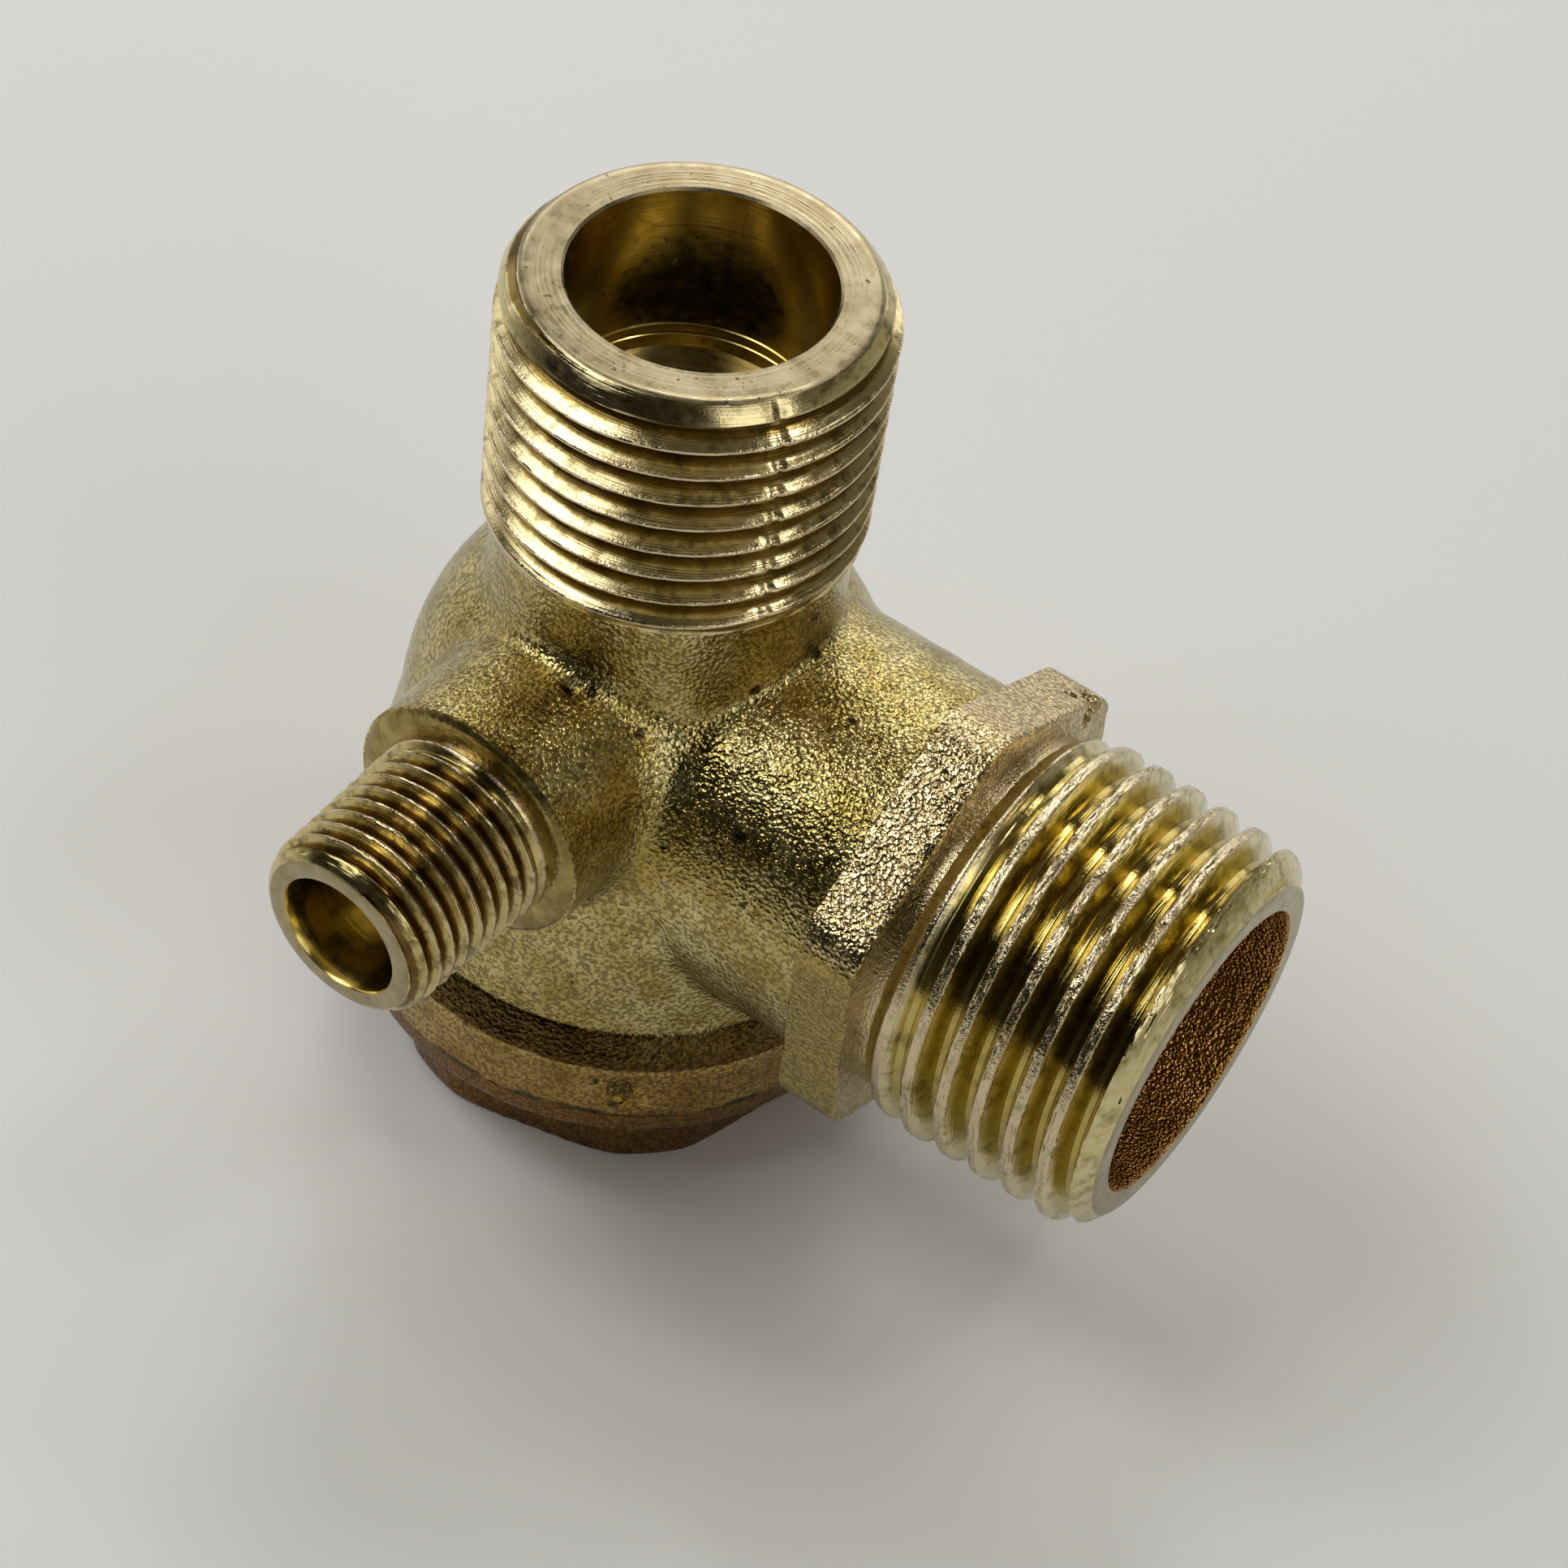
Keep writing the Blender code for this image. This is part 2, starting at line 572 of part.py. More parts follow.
def build():
    clear_scene()
    build_body(make_material("body_brass", BODY_BRASS, 1.0, 0.35))
    build_cap(make_material("cap_brass", CAP_BRASS, 1.0, 0.45))
    build_o_ring(make_material("o_ring_rubber", O_RING_RUBBER, 0.0, 0.6))
    build_valve_holder(make_material("turned_brass", TURNED_BRASS, 1.0, 0.25))
    build_seal_disc(make_material("seal_rubber", SEAL_RUBBER, 0.0, 0.7))
    build_spring(make_material("spring_steel", SPRING_STEEL, 1.0, 0.3))


build()
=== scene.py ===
"""Finished look of the three-way non-return valve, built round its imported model.

Sizes are in millimetres unless their name says otherwise; meshes are scaled to metres as they are made.
The inlet port points to +Z, the outlet port to +X and the small unloader port to -Y.
"""
import math

import bpy
import numpy as np
from mathutils import Matrix, Vector, noise


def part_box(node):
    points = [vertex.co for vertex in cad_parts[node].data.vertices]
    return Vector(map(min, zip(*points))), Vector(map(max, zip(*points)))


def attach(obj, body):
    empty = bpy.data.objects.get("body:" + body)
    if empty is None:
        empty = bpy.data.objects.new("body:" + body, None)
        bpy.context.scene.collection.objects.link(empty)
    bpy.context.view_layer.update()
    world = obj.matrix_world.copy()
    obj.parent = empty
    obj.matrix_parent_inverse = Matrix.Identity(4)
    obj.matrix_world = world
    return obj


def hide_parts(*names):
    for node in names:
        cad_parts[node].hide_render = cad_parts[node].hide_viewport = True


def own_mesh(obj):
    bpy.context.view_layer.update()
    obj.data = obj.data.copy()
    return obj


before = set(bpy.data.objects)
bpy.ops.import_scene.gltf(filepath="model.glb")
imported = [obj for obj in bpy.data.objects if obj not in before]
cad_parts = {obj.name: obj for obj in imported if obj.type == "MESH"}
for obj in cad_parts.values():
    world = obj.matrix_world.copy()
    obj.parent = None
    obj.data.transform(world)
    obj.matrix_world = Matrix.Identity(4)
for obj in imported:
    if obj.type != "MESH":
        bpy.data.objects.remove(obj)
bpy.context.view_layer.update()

MM = 0.001
BODY_LOW, BODY_HIGH = (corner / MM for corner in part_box("body"))
CAP_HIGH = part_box("cap")[1] / MM
HOLDER_LOW, HOLDER_HIGH = (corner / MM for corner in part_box("valve_holder"))
SPRING_LOW, SPRING_HIGH = (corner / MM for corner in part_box("return_spring"))

# Port faces, from the body's box, and the port axes
INLET_FACE_Z = BODY_HIGH.z
OUTLET_FACE_X = BODY_HIGH.x
UNLOADER_FACE_REACH = -BODY_LOW.y
OUTLET_AXIS_Z = INLET_FACE_Z - 27.55
UNLOADER_AXIS_Z = OUTLET_AXIS_Z + 3.95

# How far the flange reaches down over the solids' gap, which leaves the thin seam in the photo
SEAM_CLOSING = 0.15
FLANGE_BOTTOM_Z = BODY_LOW.z - SEAM_CLOSING

# Outside of the forged body
DOME_RADIUS = 12.2
WALL_TOP_RADIUS = 12.9
WALL_TOP_Z = 17.5
WALL_OVERLAP = 0.5
NECK_RADIUS = 8.5
NECK_TOP_Z = INLET_FACE_Z - 13.3
TUBE_RADIUS = 9.95
TUBE_END_INSET = 0.3
BOSS_RADIUS = 6.3
BOSS_END_INSET = 9.1
FLANGE_RADIUS = 14.15
FLANGE_TOP_RADIUS = 13.2
FLANGE_CHAMFER_Z = BODY_LOW.z + 3.3
FLANGE_TOP_Z = FLANGE_CHAMFER_Z + 1.95
COLLAR_START_X = 16.1
COLLAR_END_X = 19.25
COLLAR_ACROSS_FLATS = 21.4
COLLAR_CORNER_RADIUS = 11.9
COLLAR_TURN = math.radians(4.0)

# Fillets and rounded edges of the forging
NECK_FILLET = 0.6
TUBE_FILLET = 0.45
BOSS_FILLET = 0.9
CAST_EDGE = 0.25
CHAMFER_EDGE = 0.15
SEAM_EDGE = 0.12

# Bores and chamber
PASSAGE_RADIUS = 3.9
PASSAGE_SLEEVE_GAP = 0.2
SEAT_Z = OUTLET_AXIS_Z + 0.2
SEAT_RIM_RADIUS = 4.9
SEAT_RIM_OVERLAP = 0.3
CHAMBER_RADIUS = 7.2
CHAMBER_TOP_Z = SEAT_Z + 1.4
CAP_BORE_RADIUS = 11.5
CAP_BORE_TOP_Z = CAP_HIGH.z + 0.3
COUNTERBORE_RADIUS = 12.65
COUNTERBORE_TOP_Z = FLANGE_BOTTOM_Z + 1.5
CUT_OVERSHOOT = 2.0
OUTLET_HOLE_RADIUS = 5.4
OUTLET_BORE_DEPTH = 15.2
OUTLET_CONE_LENGTH = 1.6
OUTLET_BORE_RADIUS = 7.53
OUTLET_BORE_DRAFT = 0.3

# Waves of the outlet's cast bore as (length, depth)
BORE_WAVES = ((0.7, 0.03), (2.5, 0.04))

# Unloader hole
UNLOADER_HOLE_RADIUS = 1.25
UNLOADER_SLEEVE_GAP = 0.15

# Screw cap
CAP_HEX_ACROSS_FLATS = 22.6
CAP_HEX_CORNER_RADIUS = 12.1
CAP_HEX_TURN = math.radians(-14.7)
CAP_CHAMFER_WIDTH = 0.75
CAP_CHAMFER_NORMAL = (0.5, -0.866)
CAP_RIM_LOW_Z = 5.2
CAP_RIM_TOP_Z = FLANGE_BOTTOM_Z - 0.1
CAP_RIM_RADIUS = 14.05
CAP_RIM_FILLET = 0.2
CAP_HEX_OVERLAP = 0.3
CAP_SHANK_RADIUS = 10.85
CAP_SPIGOT_RADIUS = 11.2
SPRING_WELL_RADIUS = 4.7
SPRING_WELL_DEPTH = 2.8
STEM_GUIDE_RADIUS = 2.3
STEM_GUIDE_FLOOR_Z = 2.5

# Poppet
HOLDER_HEAD = 3.0
HOLDER_CUP = 1.5
HOLDER_WALL = 0.6
HOLDER_STEM_RADIUS = 2.0
HOLDER_EDGE = 0.3
HOLDER_COLUMNS = 96

# Return spring
SPRING_WIRE = 0.6
SPRING_TURNS = 7
SPRING_STEPS_PER_TURN = 48
SPRING_SIDES = 12
SPRING_CLOSED_RISE = 0.085

# The ports' threads: runout and neck are places past the foot where the groove deepens and the crest
# grows to its radii; gauge is a taper thread's radius and how far it lies from the face; chamfer is its
# end radius, length and rise; edges are the (width, depth) of the face's outer and inner edge; sleeve is
# how far the port's mesh starts behind the foot; wear is the tears' length and depth and the waves'
# depth; scratch is the angle of its top and bottom, its width and its depth
PIPE_TAPER = 1 / 16

# Inlet port, M18 x 1.5
INLET_THREAD_RADIUS = 9.0
INLET_THREAD_LENGTH = 13.2
INLET_CHAMFER_DEPTH = 1.05
INLET_FACE_RADIUS = INLET_THREAD_RADIUS - INLET_CHAMFER_DEPTH
INLET = {
    "pitch": 1.5, "depth": 0.92, "crest_share": 0.09, "root_share": 0.16, "runout": (-0.1, 1.2),
    "neck": ((-0.3, -0.15, 0.1), (8.45, 8.53, INLET_THREAD_RADIUS)),
    "chamfer": (INLET_FACE_RADIUS, 1.7, INLET_CHAMFER_DEPTH), "edges": ((0.06, 0.08), (0.12, 0.12)),
    "rows": 24, "columns": 260, "sleeve": 1.1, "wear": (0.5, 0.03, 0.02),
    "scratch": (math.radians(-30), math.radians(-26), 0.28, 0.16),
}
INLET_BORE_RADIUS = 6.05
INLET_BORE_DEPTH = 9.2
INLET_SLEEVE_END = 1.3
FLOOR_CONE_DEPTH = 0.5
PASSAGE_EDGE = 0.1
SLEEVE_WALL = 0.5

# Rings turned near the inlet bore's floor, as (height above the floor, extra radius)
INLET_BORE_RINGS = ((1.45, 0), (1.4, 0.12), (1.3, 0), (0.9, 0), (0.8, 0.15), (0.7, 0))

# Outlet port, R 1/2
OUTLET_GAUGE_RADIUS = 10.4
OUTLET_FACE_RADIUS = 8.76
OUTLET = {
    "pitch": 1.814, "depth": 1.16, "crest_share": 0.27, "root_share": 0.18, "runout": (0.8, 3.6),
    "neck": ((0.7, 1.4, 3.5), (9.5, 10.15, 10.6)), "gauge": (OUTLET_GAUGE_RADIUS, 8.2),
    "chamfer": (OUTLET_FACE_RADIUS, 1.4, OUTLET_GAUGE_RADIUS - 0.25 - OUTLET_FACE_RADIUS),
    "edges": ((0.05, 0.06), (0.06, 0.1)),
    "rows": 26, "columns": 240, "sleeve": 0.75, "wear": (0.2, 0.2, 0.05),
}
OUTLET_SLEEVE_END = 0.9
OUTLET_SLEEVE_WALL = 1.1

# Unloader port, R 1/8
UNLOADER_GAUGE_RADIUS = 4.75
UNLOADER_FACE_RADIUS = 3.95
UNLOADER_THREAD_LENGTH = 8.8
UNLOADER = {
    "pitch": 0.907, "depth": 0.58, "crest_share": 0.14, "root_share": 0.12, "runout": (0.1, 1.3),
    "gauge": (UNLOADER_GAUGE_RADIUS, 4.0),
    "chamfer": (UNLOADER_FACE_RADIUS, 0.9, UNLOADER_GAUGE_RADIUS - 0.13 - UNLOADER_FACE_RADIUS),
    "edges": ((0.08, 0.07), (0.1, 0.15)),
    "rows": 18, "columns": 150, "sleeve": 0, "wear": (0.4, 0.09, 0.03),
}
UNLOADER_BORE_RADIUS = 3.07
UNLOADER_BORE_DEPTH = 6.2
UNLOADER_CONE_LENGTH = 1.5
UNLOADER_SLEEVE_LENGTH = 4
UNLOADER_SLEEVE_WALL = 0.4

# Machined shoulder of the boss: how deep it goes into the forging, how far its foot lies inside the
# boss's radius, and its rounded edge as (distance inside that radius, distance below the shoulder)
SHOULDER_DEPTH = 1.2
SHOULDER_INSET = 0.15
SHOULDER_EDGE = ((0.1, 0.35), (0.3, 0.1), (0.6, 0))

# Threads: how far crests and roots are rounded, as a share of the pitch, and how near to an end a
# point is pulled onto it, as a share of the space between two rows
CREST_ROUNDING = 0.015
END_SNAP = 0.3

# Wear of the crests: how much shorter tears are along the port, the noise they start from, and the
# slow waves' stretch, length and place in the noise
TEAR_STRETCH = 2.6
TEAR_START = 0.05
SLOW_STRETCH = 0.8
SLOW_LENGTH = 2.4
SLOW_PLACE = (5, 9, 2)

# Tone of a thread's end chamfer, on the scale of stain and painted shade from 0 at a crest to 1 at a root
CHAMFER_GROOVE_TONE = 0.34

# How worn the end chamfers are: 1 is a straight cone
CHAMFER_ROUNDING = 1.8

# Finishes of a port, as places in its list of materials
MACHINED, BORED, ROUGH, SHOULDER = 1, 2, 3, 4

# Camera, in the photo's place
CAMERA_SENSOR = 36
CAMERA_LENS = 80.03
CAMERA_PLACE = (62.786, -98.945, 145.8)
CAMERA_AXES = (
    (0.8033, 0.5849, 0.1122),
    (0.4989, -0.558, -0.6631),
    (-0.3253, 0.5887, -0.74),
)

# Dirt and painted shadow in the thread roots, its paler tone on the outlet, and the reddish tint of torn
# crests
ROOT_DIRT_AND_SHADE = (0.14, 0.09, 0.035)
PIPE_ROOT = (0.5, 0.38, 0.11)
CREST_BLUSH = (0.7, 0.57, 0.4)

# Painted shade: the forging darker and browner towards its foot
FOOT_TOP_Z = 10.6
FOOT_LOW_Z = 9.6
FOOT_SHADE_TINT = (0.72, 0.56, 0.38)

# Dark band of the flange's chamfer
BAND_TINT = (0.24, 0.18, 0.14)

# Painted light and shade on the collar: colours of its lit upper flats and shaded lower flats, and the
# height of the corner between them
COLLAR_LIT_COLOUR = (0.72, 0.57, 0.32)
COLLAR_SHADED_COLOUR = (0.45, 0.34, 0.11)
COLLAR_CORNER_Z = OUTLET_AXIS_Z + 5.1
COLLAR_CORNER_SOFTNESS = 0.2

# Grain of the forging, and how much of a dark colour is painted into its valleys as shade and left in a
# bore's specks as dirt
GRAIN_SIZE = 0.2
GRAIN_CELL_SIZE = 0.23
GRAIN_CELL_SHARE = 0.7
MOTTLE_SIZE = 2.2
VALLEY_SHADE_LIMITS = (0.24, 0.02)
VALLEY_SHADE_SHARE = 0.75
DIRT_AND_SHADE_SHARE = 0.4
COLLAR_VALLEY_SHADE_SHARE = 0.5

# Specks, spots and the broken dark line at the seam
SPECK_COLOUR = (0.07, 0.05, 0.02)
SPECK_LIMITS = (0.7, 0.76)
FINE_SPECK_LIMITS = (0.68, 0.74)
SPOT_LIMITS = (0.12, 0.24)
SEAM_LINE_REACH = 0.28
SEAM_LINE_LIMITS = (0.4, 0.5)

# Stains and painted shade of a thread's groove: where they change down it, from 0 at a crest to 1 at a
# root, how far a noise moves them, and the patches of blush on crests and of patina
STAIN_AND_SHADE_WANDER = 0.35
STAIN_AND_SHADE_SOFTNESS = 0.2
DIRT_AND_SHADE_LIMITS = (0.85, 1)
CREST_LIMITS = (0.16, 0.04)
BLUSH_LIMITS = (0.4, 0.6)
PATINA_LIMITS = (0.5, 0.66)
PATINA_SHARE = 0.75
PATINA_DARKNESS = 0.45

# Values of a noise between which tone and gloss change, and how much turned rings count in the tone
TONE_LIMITS = (0.35, 0.65)
GLOSS_LIMITS = (0.3, 0.7)
RING_SHARE = 0.4

# Softness of the edge between two tones
TONE_EDGE = 0.08

# Pits pressed into the forging as (x, y, z, radius, depth)
PITS = (
    (8.3, -11.5, 8.4, 0.75, 0.4), (7.5, -12.0, 9.0, 0.3, 0.25), (9.3, -10.7, 7.9, 0.35, 0.2),
    (1.6, -9.3, 30.9, 0.45, 0.2), (17.6, -7.9, 27.3, 0.4, 0.25), (19.0, 8.3, 28.0, 0.8, 0.5),
)

# Dark spots on the forging as (x, y, z, radius)
BODY_SPOTS = (
    (1.5, -9.4, 30.9, 0.5), (2.3, -8.75, 30.7, 0.45), (12.2, -2.1, 30.5, 0.35), (10.8, -8.1, 26.6, 0.45),
    (4.8, -8.1, 29.1, 0.4), (8.3, -11.5, 8.3, 0.85), (7.3, -12.1, 9.0, 0.35), (8.0, -11.6, 7.4, 0.4),
    (8.6, -0.4, 33.5, 0.5), (8.7, 0.0, 31.0, 0.5), (7.75, -3.5, 30.6, 0.45), (5.9, -14.4, 25.6, 0.5),
)

# Floor, its reach in metres
FLOOR_REACH = 3.0
CORNER_SIGNS = ((-1, -1), (1, -1), (1, 1), (-1, 1))
FLOOR_COLOUR = (0.88, 0.875, 0.86)

# Room round the valve
HORIZON_COLOUR = (0.4, 0.38, 0.31)
ZENITH_COLOUR = (0.1, 0.085, 0.055)
ZENITH_HEIGHT = 0.6
DARK_SIDE = (-0.15, -0.95, 0.25)
DARK_SIDE_SHADE = {"From Min": 0.4, "From Max": 0.8, "To Min": 1.0, "To Max": 0.12}

# Lamps as (name, direction from the target, distance, width and height in metres, radiance)
LAMP_TARGET = (4, 0, 24)
LAMPS = (
    ("front", (-0.38, -0.4, 0.83), 0.5, 0.24, 0.2, 3.3),
    ("front_left", (-0.6, -0.2, 0.77), 0.5, 0.18, 0.2, 2.6),
    ("back_low", (-0.38, 0.76, 0.53), 0.6, 0.16, 0.12, 4.5),
    ("back_high", (-0.34, 0.36, 0.87), 0.6, 0.16, 0.12, 4),
    ("bar", (0.05, 0.51, 0.86), 0.6, 0.26, 0.035, 7),
    ("spot", (-0.23, 0.48, 0.85), 0.6, 0.06, 0.06, 14),
    ("strip", (0.4, 0.2, 0.89), 0.6, 0.1, 0.05, 12),
    ("horizon", (-0.2, 0.93, 0.25), 0.7, 0.6, 0.25, 1.2),
    ("left", (-0.95, 0.1, 0.3), 0.8, 0.4, 0.4, 0.9),
    ("left_back", (-0.66, 0.62, 0.43), 0.7, 0.25, 0.25, 2.2),
    ("right", (0.8, -0.25, 0.55), 0.8, 0.5, 0.45, 1.3),
)

# Contouring
BODY_STEP = 0.265
CAP_STEP = 0.3
CONTOUR_MARGIN = 1
FORGING_LOW_Y = -15.5
CAP_REACH = 15
GRADIENT_STEP = 0.02
CORNER_SOFTNESS = 0.08
SHARP_ANGLE = math.radians(34)
AXIS_PAIRS = ((0, 0), (0, 1), (0, 2), (1, 1), (1, 2), (2, 2))

# Surface waves of the forging, and how ragged its pits are
WAVE_LENGTH = 1.9
WAVE_DEPTH = 0.035
FINE_WAVE_LENGTH = WAVE_LENGTH / 2.7
PIT_RAGGED_LENGTH = 0.5
PIT_RAGGED_SHARE = 0.8
PIT_STEEPNESS = 2


def on_axis(along, low, high, radius, centre, points):
    """Distance to a round rod along one axis (0, 1 or 2) from low to high."""
    first, second = [axis for axis in range(3) if axis != along]
    radial = np.hypot(points[first] - centre[first], points[second] - centre[second]) - radius
    ends = np.maximum(low - points[along], points[along] - high)
    outside = np.hypot(np.maximum(radial, 0), np.maximum(ends, 0))
    return np.minimum(np.maximum(radial, ends), 0) + outside


def ball(centre, radius, points):
    """Distance to a ball."""
    squares = sum((points[axis] - centre[axis]) ** 2 for axis in range(3))
    return np.sqrt(squares) - radius


def join(first, second, fillet):
    """Union of two distance fields with a round fillet between them."""
    reach = np.hypot(np.maximum(fillet - first, 0), np.maximum(fillet - second, 0))
    return np.maximum(fillet, np.minimum(first, second)) - reach


def meet(first, second, fillet):
    """Intersection of two distance fields with a rounded edge."""
    return -join(-first, -second, fillet)


def cut(first, second, fillet):
    """The first field with the second taken out of it, with a rounded edge."""
    return meet(first, -second, fillet)


def hexagon_field(across, up, across_flats, corner_radius, turn):
    """Distance to a hexagon's outline with its corners turned down to corner_radius."""
    field = np.hypot(across, up) - corner_radius
    for side in range(3):
        angle = turn + side * math.pi / 3
        flats = np.abs(across * math.cos(angle) + up * math.sin(angle)) - across_flats / 2
        field = meet(field, flats, CAST_EDGE)
    return field


def flange_field(points):
    """Round flange at the body's foot, with a chamfer on top."""
    radial = np.hypot(points[0], points[1])
    slope = math.hypot(FLANGE_TOP_Z - FLANGE_CHAMFER_Z, FLANGE_RADIUS - FLANGE_TOP_RADIUS)
    along_r = (FLANGE_TOP_Z - FLANGE_CHAMFER_Z) / slope
    along_z = (FLANGE_RADIUS - FLANGE_TOP_RADIUS) / slope
    chamfer = (radial - FLANGE_RADIUS) * along_r + (points[2] - FLANGE_CHAMFER_Z) * along_z
    field = meet(radial - FLANGE_RADIUS, chamfer, CHAMFER_EDGE)
    field = meet(field, points[2] - FLANGE_TOP_Z, CAST_EDGE)
    return meet(field, FLANGE_BOTTOM_Z - points[2], SEAM_EDGE)


def wall_field(points):
    """Dome, and under it the wall that widens down to the flange."""
    heights = (FLANGE_TOP_Z, WALL_TOP_Z, OUTLET_AXIS_Z)
    reach = np.interp(points[2], heights, (FLANGE_TOP_RADIUS, WALL_TOP_RADIUS, DOME_RADIUS))
    ends = np.maximum(FLANGE_BOTTOM_Z + WALL_OVERLAP - points[2], points[2] - OUTLET_AXIS_Z)
    wall = np.maximum(np.hypot(points[0], points[1]) - reach, ends)
    return np.minimum(wall, ball((0, 0, OUTLET_AXIS_Z), DOME_RADIUS, points))


def collar_field(points):
    """Hexagonal collar of the outlet port."""
    field = hexagon_field(
        points[1], points[2] - OUTLET_AXIS_Z, COLLAR_ACROSS_FLATS, COLLAR_CORNER_RADIUS, COLLAR_TURN
    )
    ends = np.maximum(COLLAR_START_X - points[0], points[0] - COLLAR_END_X)
    return meet(field, ends, CAST_EDGE)


def forging_field(points):
    """Outside of the forged body: dome, wall, flange, neck, outlet tube with its collar, and boss."""
    centre = (0, 0, OUTLET_AXIS_Z)
    boss_end = UNLOADER_FACE_REACH - BOSS_END_INSET
    field = np.minimum(wall_field(points), flange_field(points))
    neck = on_axis(2, OUTLET_AXIS_Z, INLET_FACE_Z, NECK_RADIUS, centre, points)
    field = join(field, neck, NECK_FILLET)
    tube = on_axis(0, 0, COLLAR_END_X - TUBE_END_INSET, TUBE_RADIUS, centre, points)
    tube = join(tube, collar_field(points), CAST_EDGE)
    field = join(field, tube, TUBE_FILLET)
    boss = on_axis(1, -boss_end, 0, BOSS_RADIUS, (0, 0, UNLOADER_AXIS_Z), points)
    field = join(field, boss, BOSS_FILLET)
    return np.maximum(field, points[2] - NECK_TOP_Z)


def cavity_field(points):
    """Inlet passage, valve chamber, cap bore, outlet bore and unloader hole."""
    centre = (0, 0, OUTLET_AXIS_Z)
    below = FLANGE_BOTTOM_Z - CUT_OVERSHOOT
    upright = (
        (FLANGE_BOTTOM_Z, CHAMBER_TOP_Z, CHAMBER_RADIUS),
        (below, CAP_BORE_TOP_Z, CAP_BORE_RADIUS),
        (below, COUNTERBORE_TOP_Z, COUNTERBORE_RADIUS),
        (SEAT_Z, INLET_FACE_Z, PASSAGE_RADIUS + PASSAGE_SLEEVE_GAP),
    )
    fields = [on_axis(2, low, high, radius, centre, points) for low, high, radius in upright]
    cone_end = OUTLET_FACE_X - OUTLET_BORE_DEPTH
    radial = np.hypot(points[1], points[2] - OUTLET_AXIS_Z)
    widening = (OUTLET_BORE_RADIUS - OUTLET_HOLE_RADIUS) / OUTLET_CONE_LENGTH
    taper = np.clip(points[0] - cone_end + OUTLET_CONE_LENGTH, 0, OUTLET_CONE_LENGTH) * widening
    fields.append(np.maximum(radial - OUTLET_HOLE_RADIUS - taper, -points[0]))
    hole_radius = UNLOADER_HOLE_RADIUS + UNLOADER_SLEEVE_GAP
    fields.append(on_axis(1, -UNLOADER_FACE_REACH, 0, hole_radius, (0, 0, UNLOADER_AXIS_Z), points))
    return np.minimum.reduce(fields)


def body_field(points):
    """Forging with its cavities cut out."""
    return np.maximum(forging_field(points), -cavity_field(points))


def gradient(field, points):
    """Unit normals of a distance field."""
    slopes = np.empty_like(points)
    for axis in range(3):
        shift = np.zeros((3, 1))
        shift[axis] = GRADIENT_STEP
        slopes[axis] = field(points + shift) - field(points - shift)
    return slopes / np.maximum(np.linalg.norm(slopes, axis=0), 1e-9)


def crossings(field, values, low, step, axis):
    """Grid edges along one axis that the surface crosses: index, crossing point and direction."""
    size = values.shape[axis]
    near = np.take(values, range(size - 1), axis)
    far = np.take(values, range(1, size), axis)
    index = np.argwhere((near < 0) != (far < 0))
    start = near[tuple(index.T)]
    end = far[tuple(index.T)]
    unit = np.zeros((3, 1))
    unit[axis] = step
    origin = (low + index * step).T
    share_low = np.zeros(len(index))
    share_high = np.ones(len(index))
    share = start / (start - end)
    for _ in range(3):
        here = field(origin + unit * share)
        same = (here < 0) == (start < 0)
        share_low = np.where(same, share, share_low)
        share_high = np.where(same, share_high, share)
        start = np.where(same, here, start)
        end = np.where(same, end, here)
        share = share_low + (share_high - share_low) * start / (start - end)
    return index, origin + unit * share, near[tuple(index.T)] < 0


def contour(field, low, high, step):
    """Surface of a distance field as points and quads, with its sharp edges kept (dual contouring)."""
    low = np.array(low, float)
    counts = np.ceil((np.array(high) - low) / step).astype(int) + 1
    axes = [low[axis] + step * np.arange(counts[axis]) for axis in range(3)]
    values = field(np.stack(np.meshgrid(*axes, indexing="ij")).reshape(3, -1)).reshape(counts)
    keys, sums, rings = [], [], []
    for axis in range(3):
        index, point, outward = crossings(field, values, low, step, axis)
        normal = gradient(field, point)
        offset = (normal * point).sum(axis=0)
        products = [normal[a] * normal[b] for a, b in AXIS_PAIRS]
        row = np.stack([*products, *(normal * offset), *point, np.ones(len(offset))])
        after, last = (axis + 1) % 3, (axis + 2) % 3
        ring = []
        for back_after, back_last in ((1, 1), (0, 1), (0, 0), (1, 0)):
            cell = index.copy()
            cell[:, after] -= back_after
            cell[:, last] -= back_last
            key = np.ravel_multi_index(tuple(cell.T), counts)
            keys.append(key)
            sums.append(row)
            ring.append(key)
        ring = np.stack(ring, axis=1)
        rings.append(np.where(outward[:, None], ring, ring[:, ::-1]))
    cells, slot = np.unique(np.concatenate(keys), return_inverse=True)
    rows = np.concatenate(sums, axis=1)
    totals = np.stack([np.bincount(slot, row, len(cells)) for row in rows])
    points = place_points(totals, cells, counts, low, step)
    return points, np.searchsorted(cells, np.concatenate(rings))


def place_points(totals, cells, counts, low, step):
    """One point for each cell, where the planes through its crossings meet best."""
    matrix = np.empty((len(cells), 3, 3))
    for value, (a, b) in zip(totals[:6], AXIS_PAIRS):
        matrix[:, a, b] = value
        matrix[:, b, a] = value
    middle = (totals[9:12] / totals[12]).T
    rest = totals[6:9].T - np.einsum("nij,nj->ni", matrix, middle)
    matrix += np.eye(3) * CORNER_SOFTNESS
    found = middle + np.linalg.solve(matrix, rest[:, :, None])[:, :, 0]
    corner = low + step * np.stack(np.unravel_index(cells, counts), axis=1)
    return np.clip(found, corner, corner + step)


def quads_mesh(name, points, faces):
    """Mesh of points in millimetres."""
    mesh = bpy.data.meshes.new(name)
    mesh.from_pydata((points * MM).tolist(), [], faces)
    mesh.validate()
    return mesh


def new_object(name, data):
    """Object in the scene."""
    made = bpy.data.objects.new(name, data)
    bpy.context.scene.collection.objects.link(made)
    return made


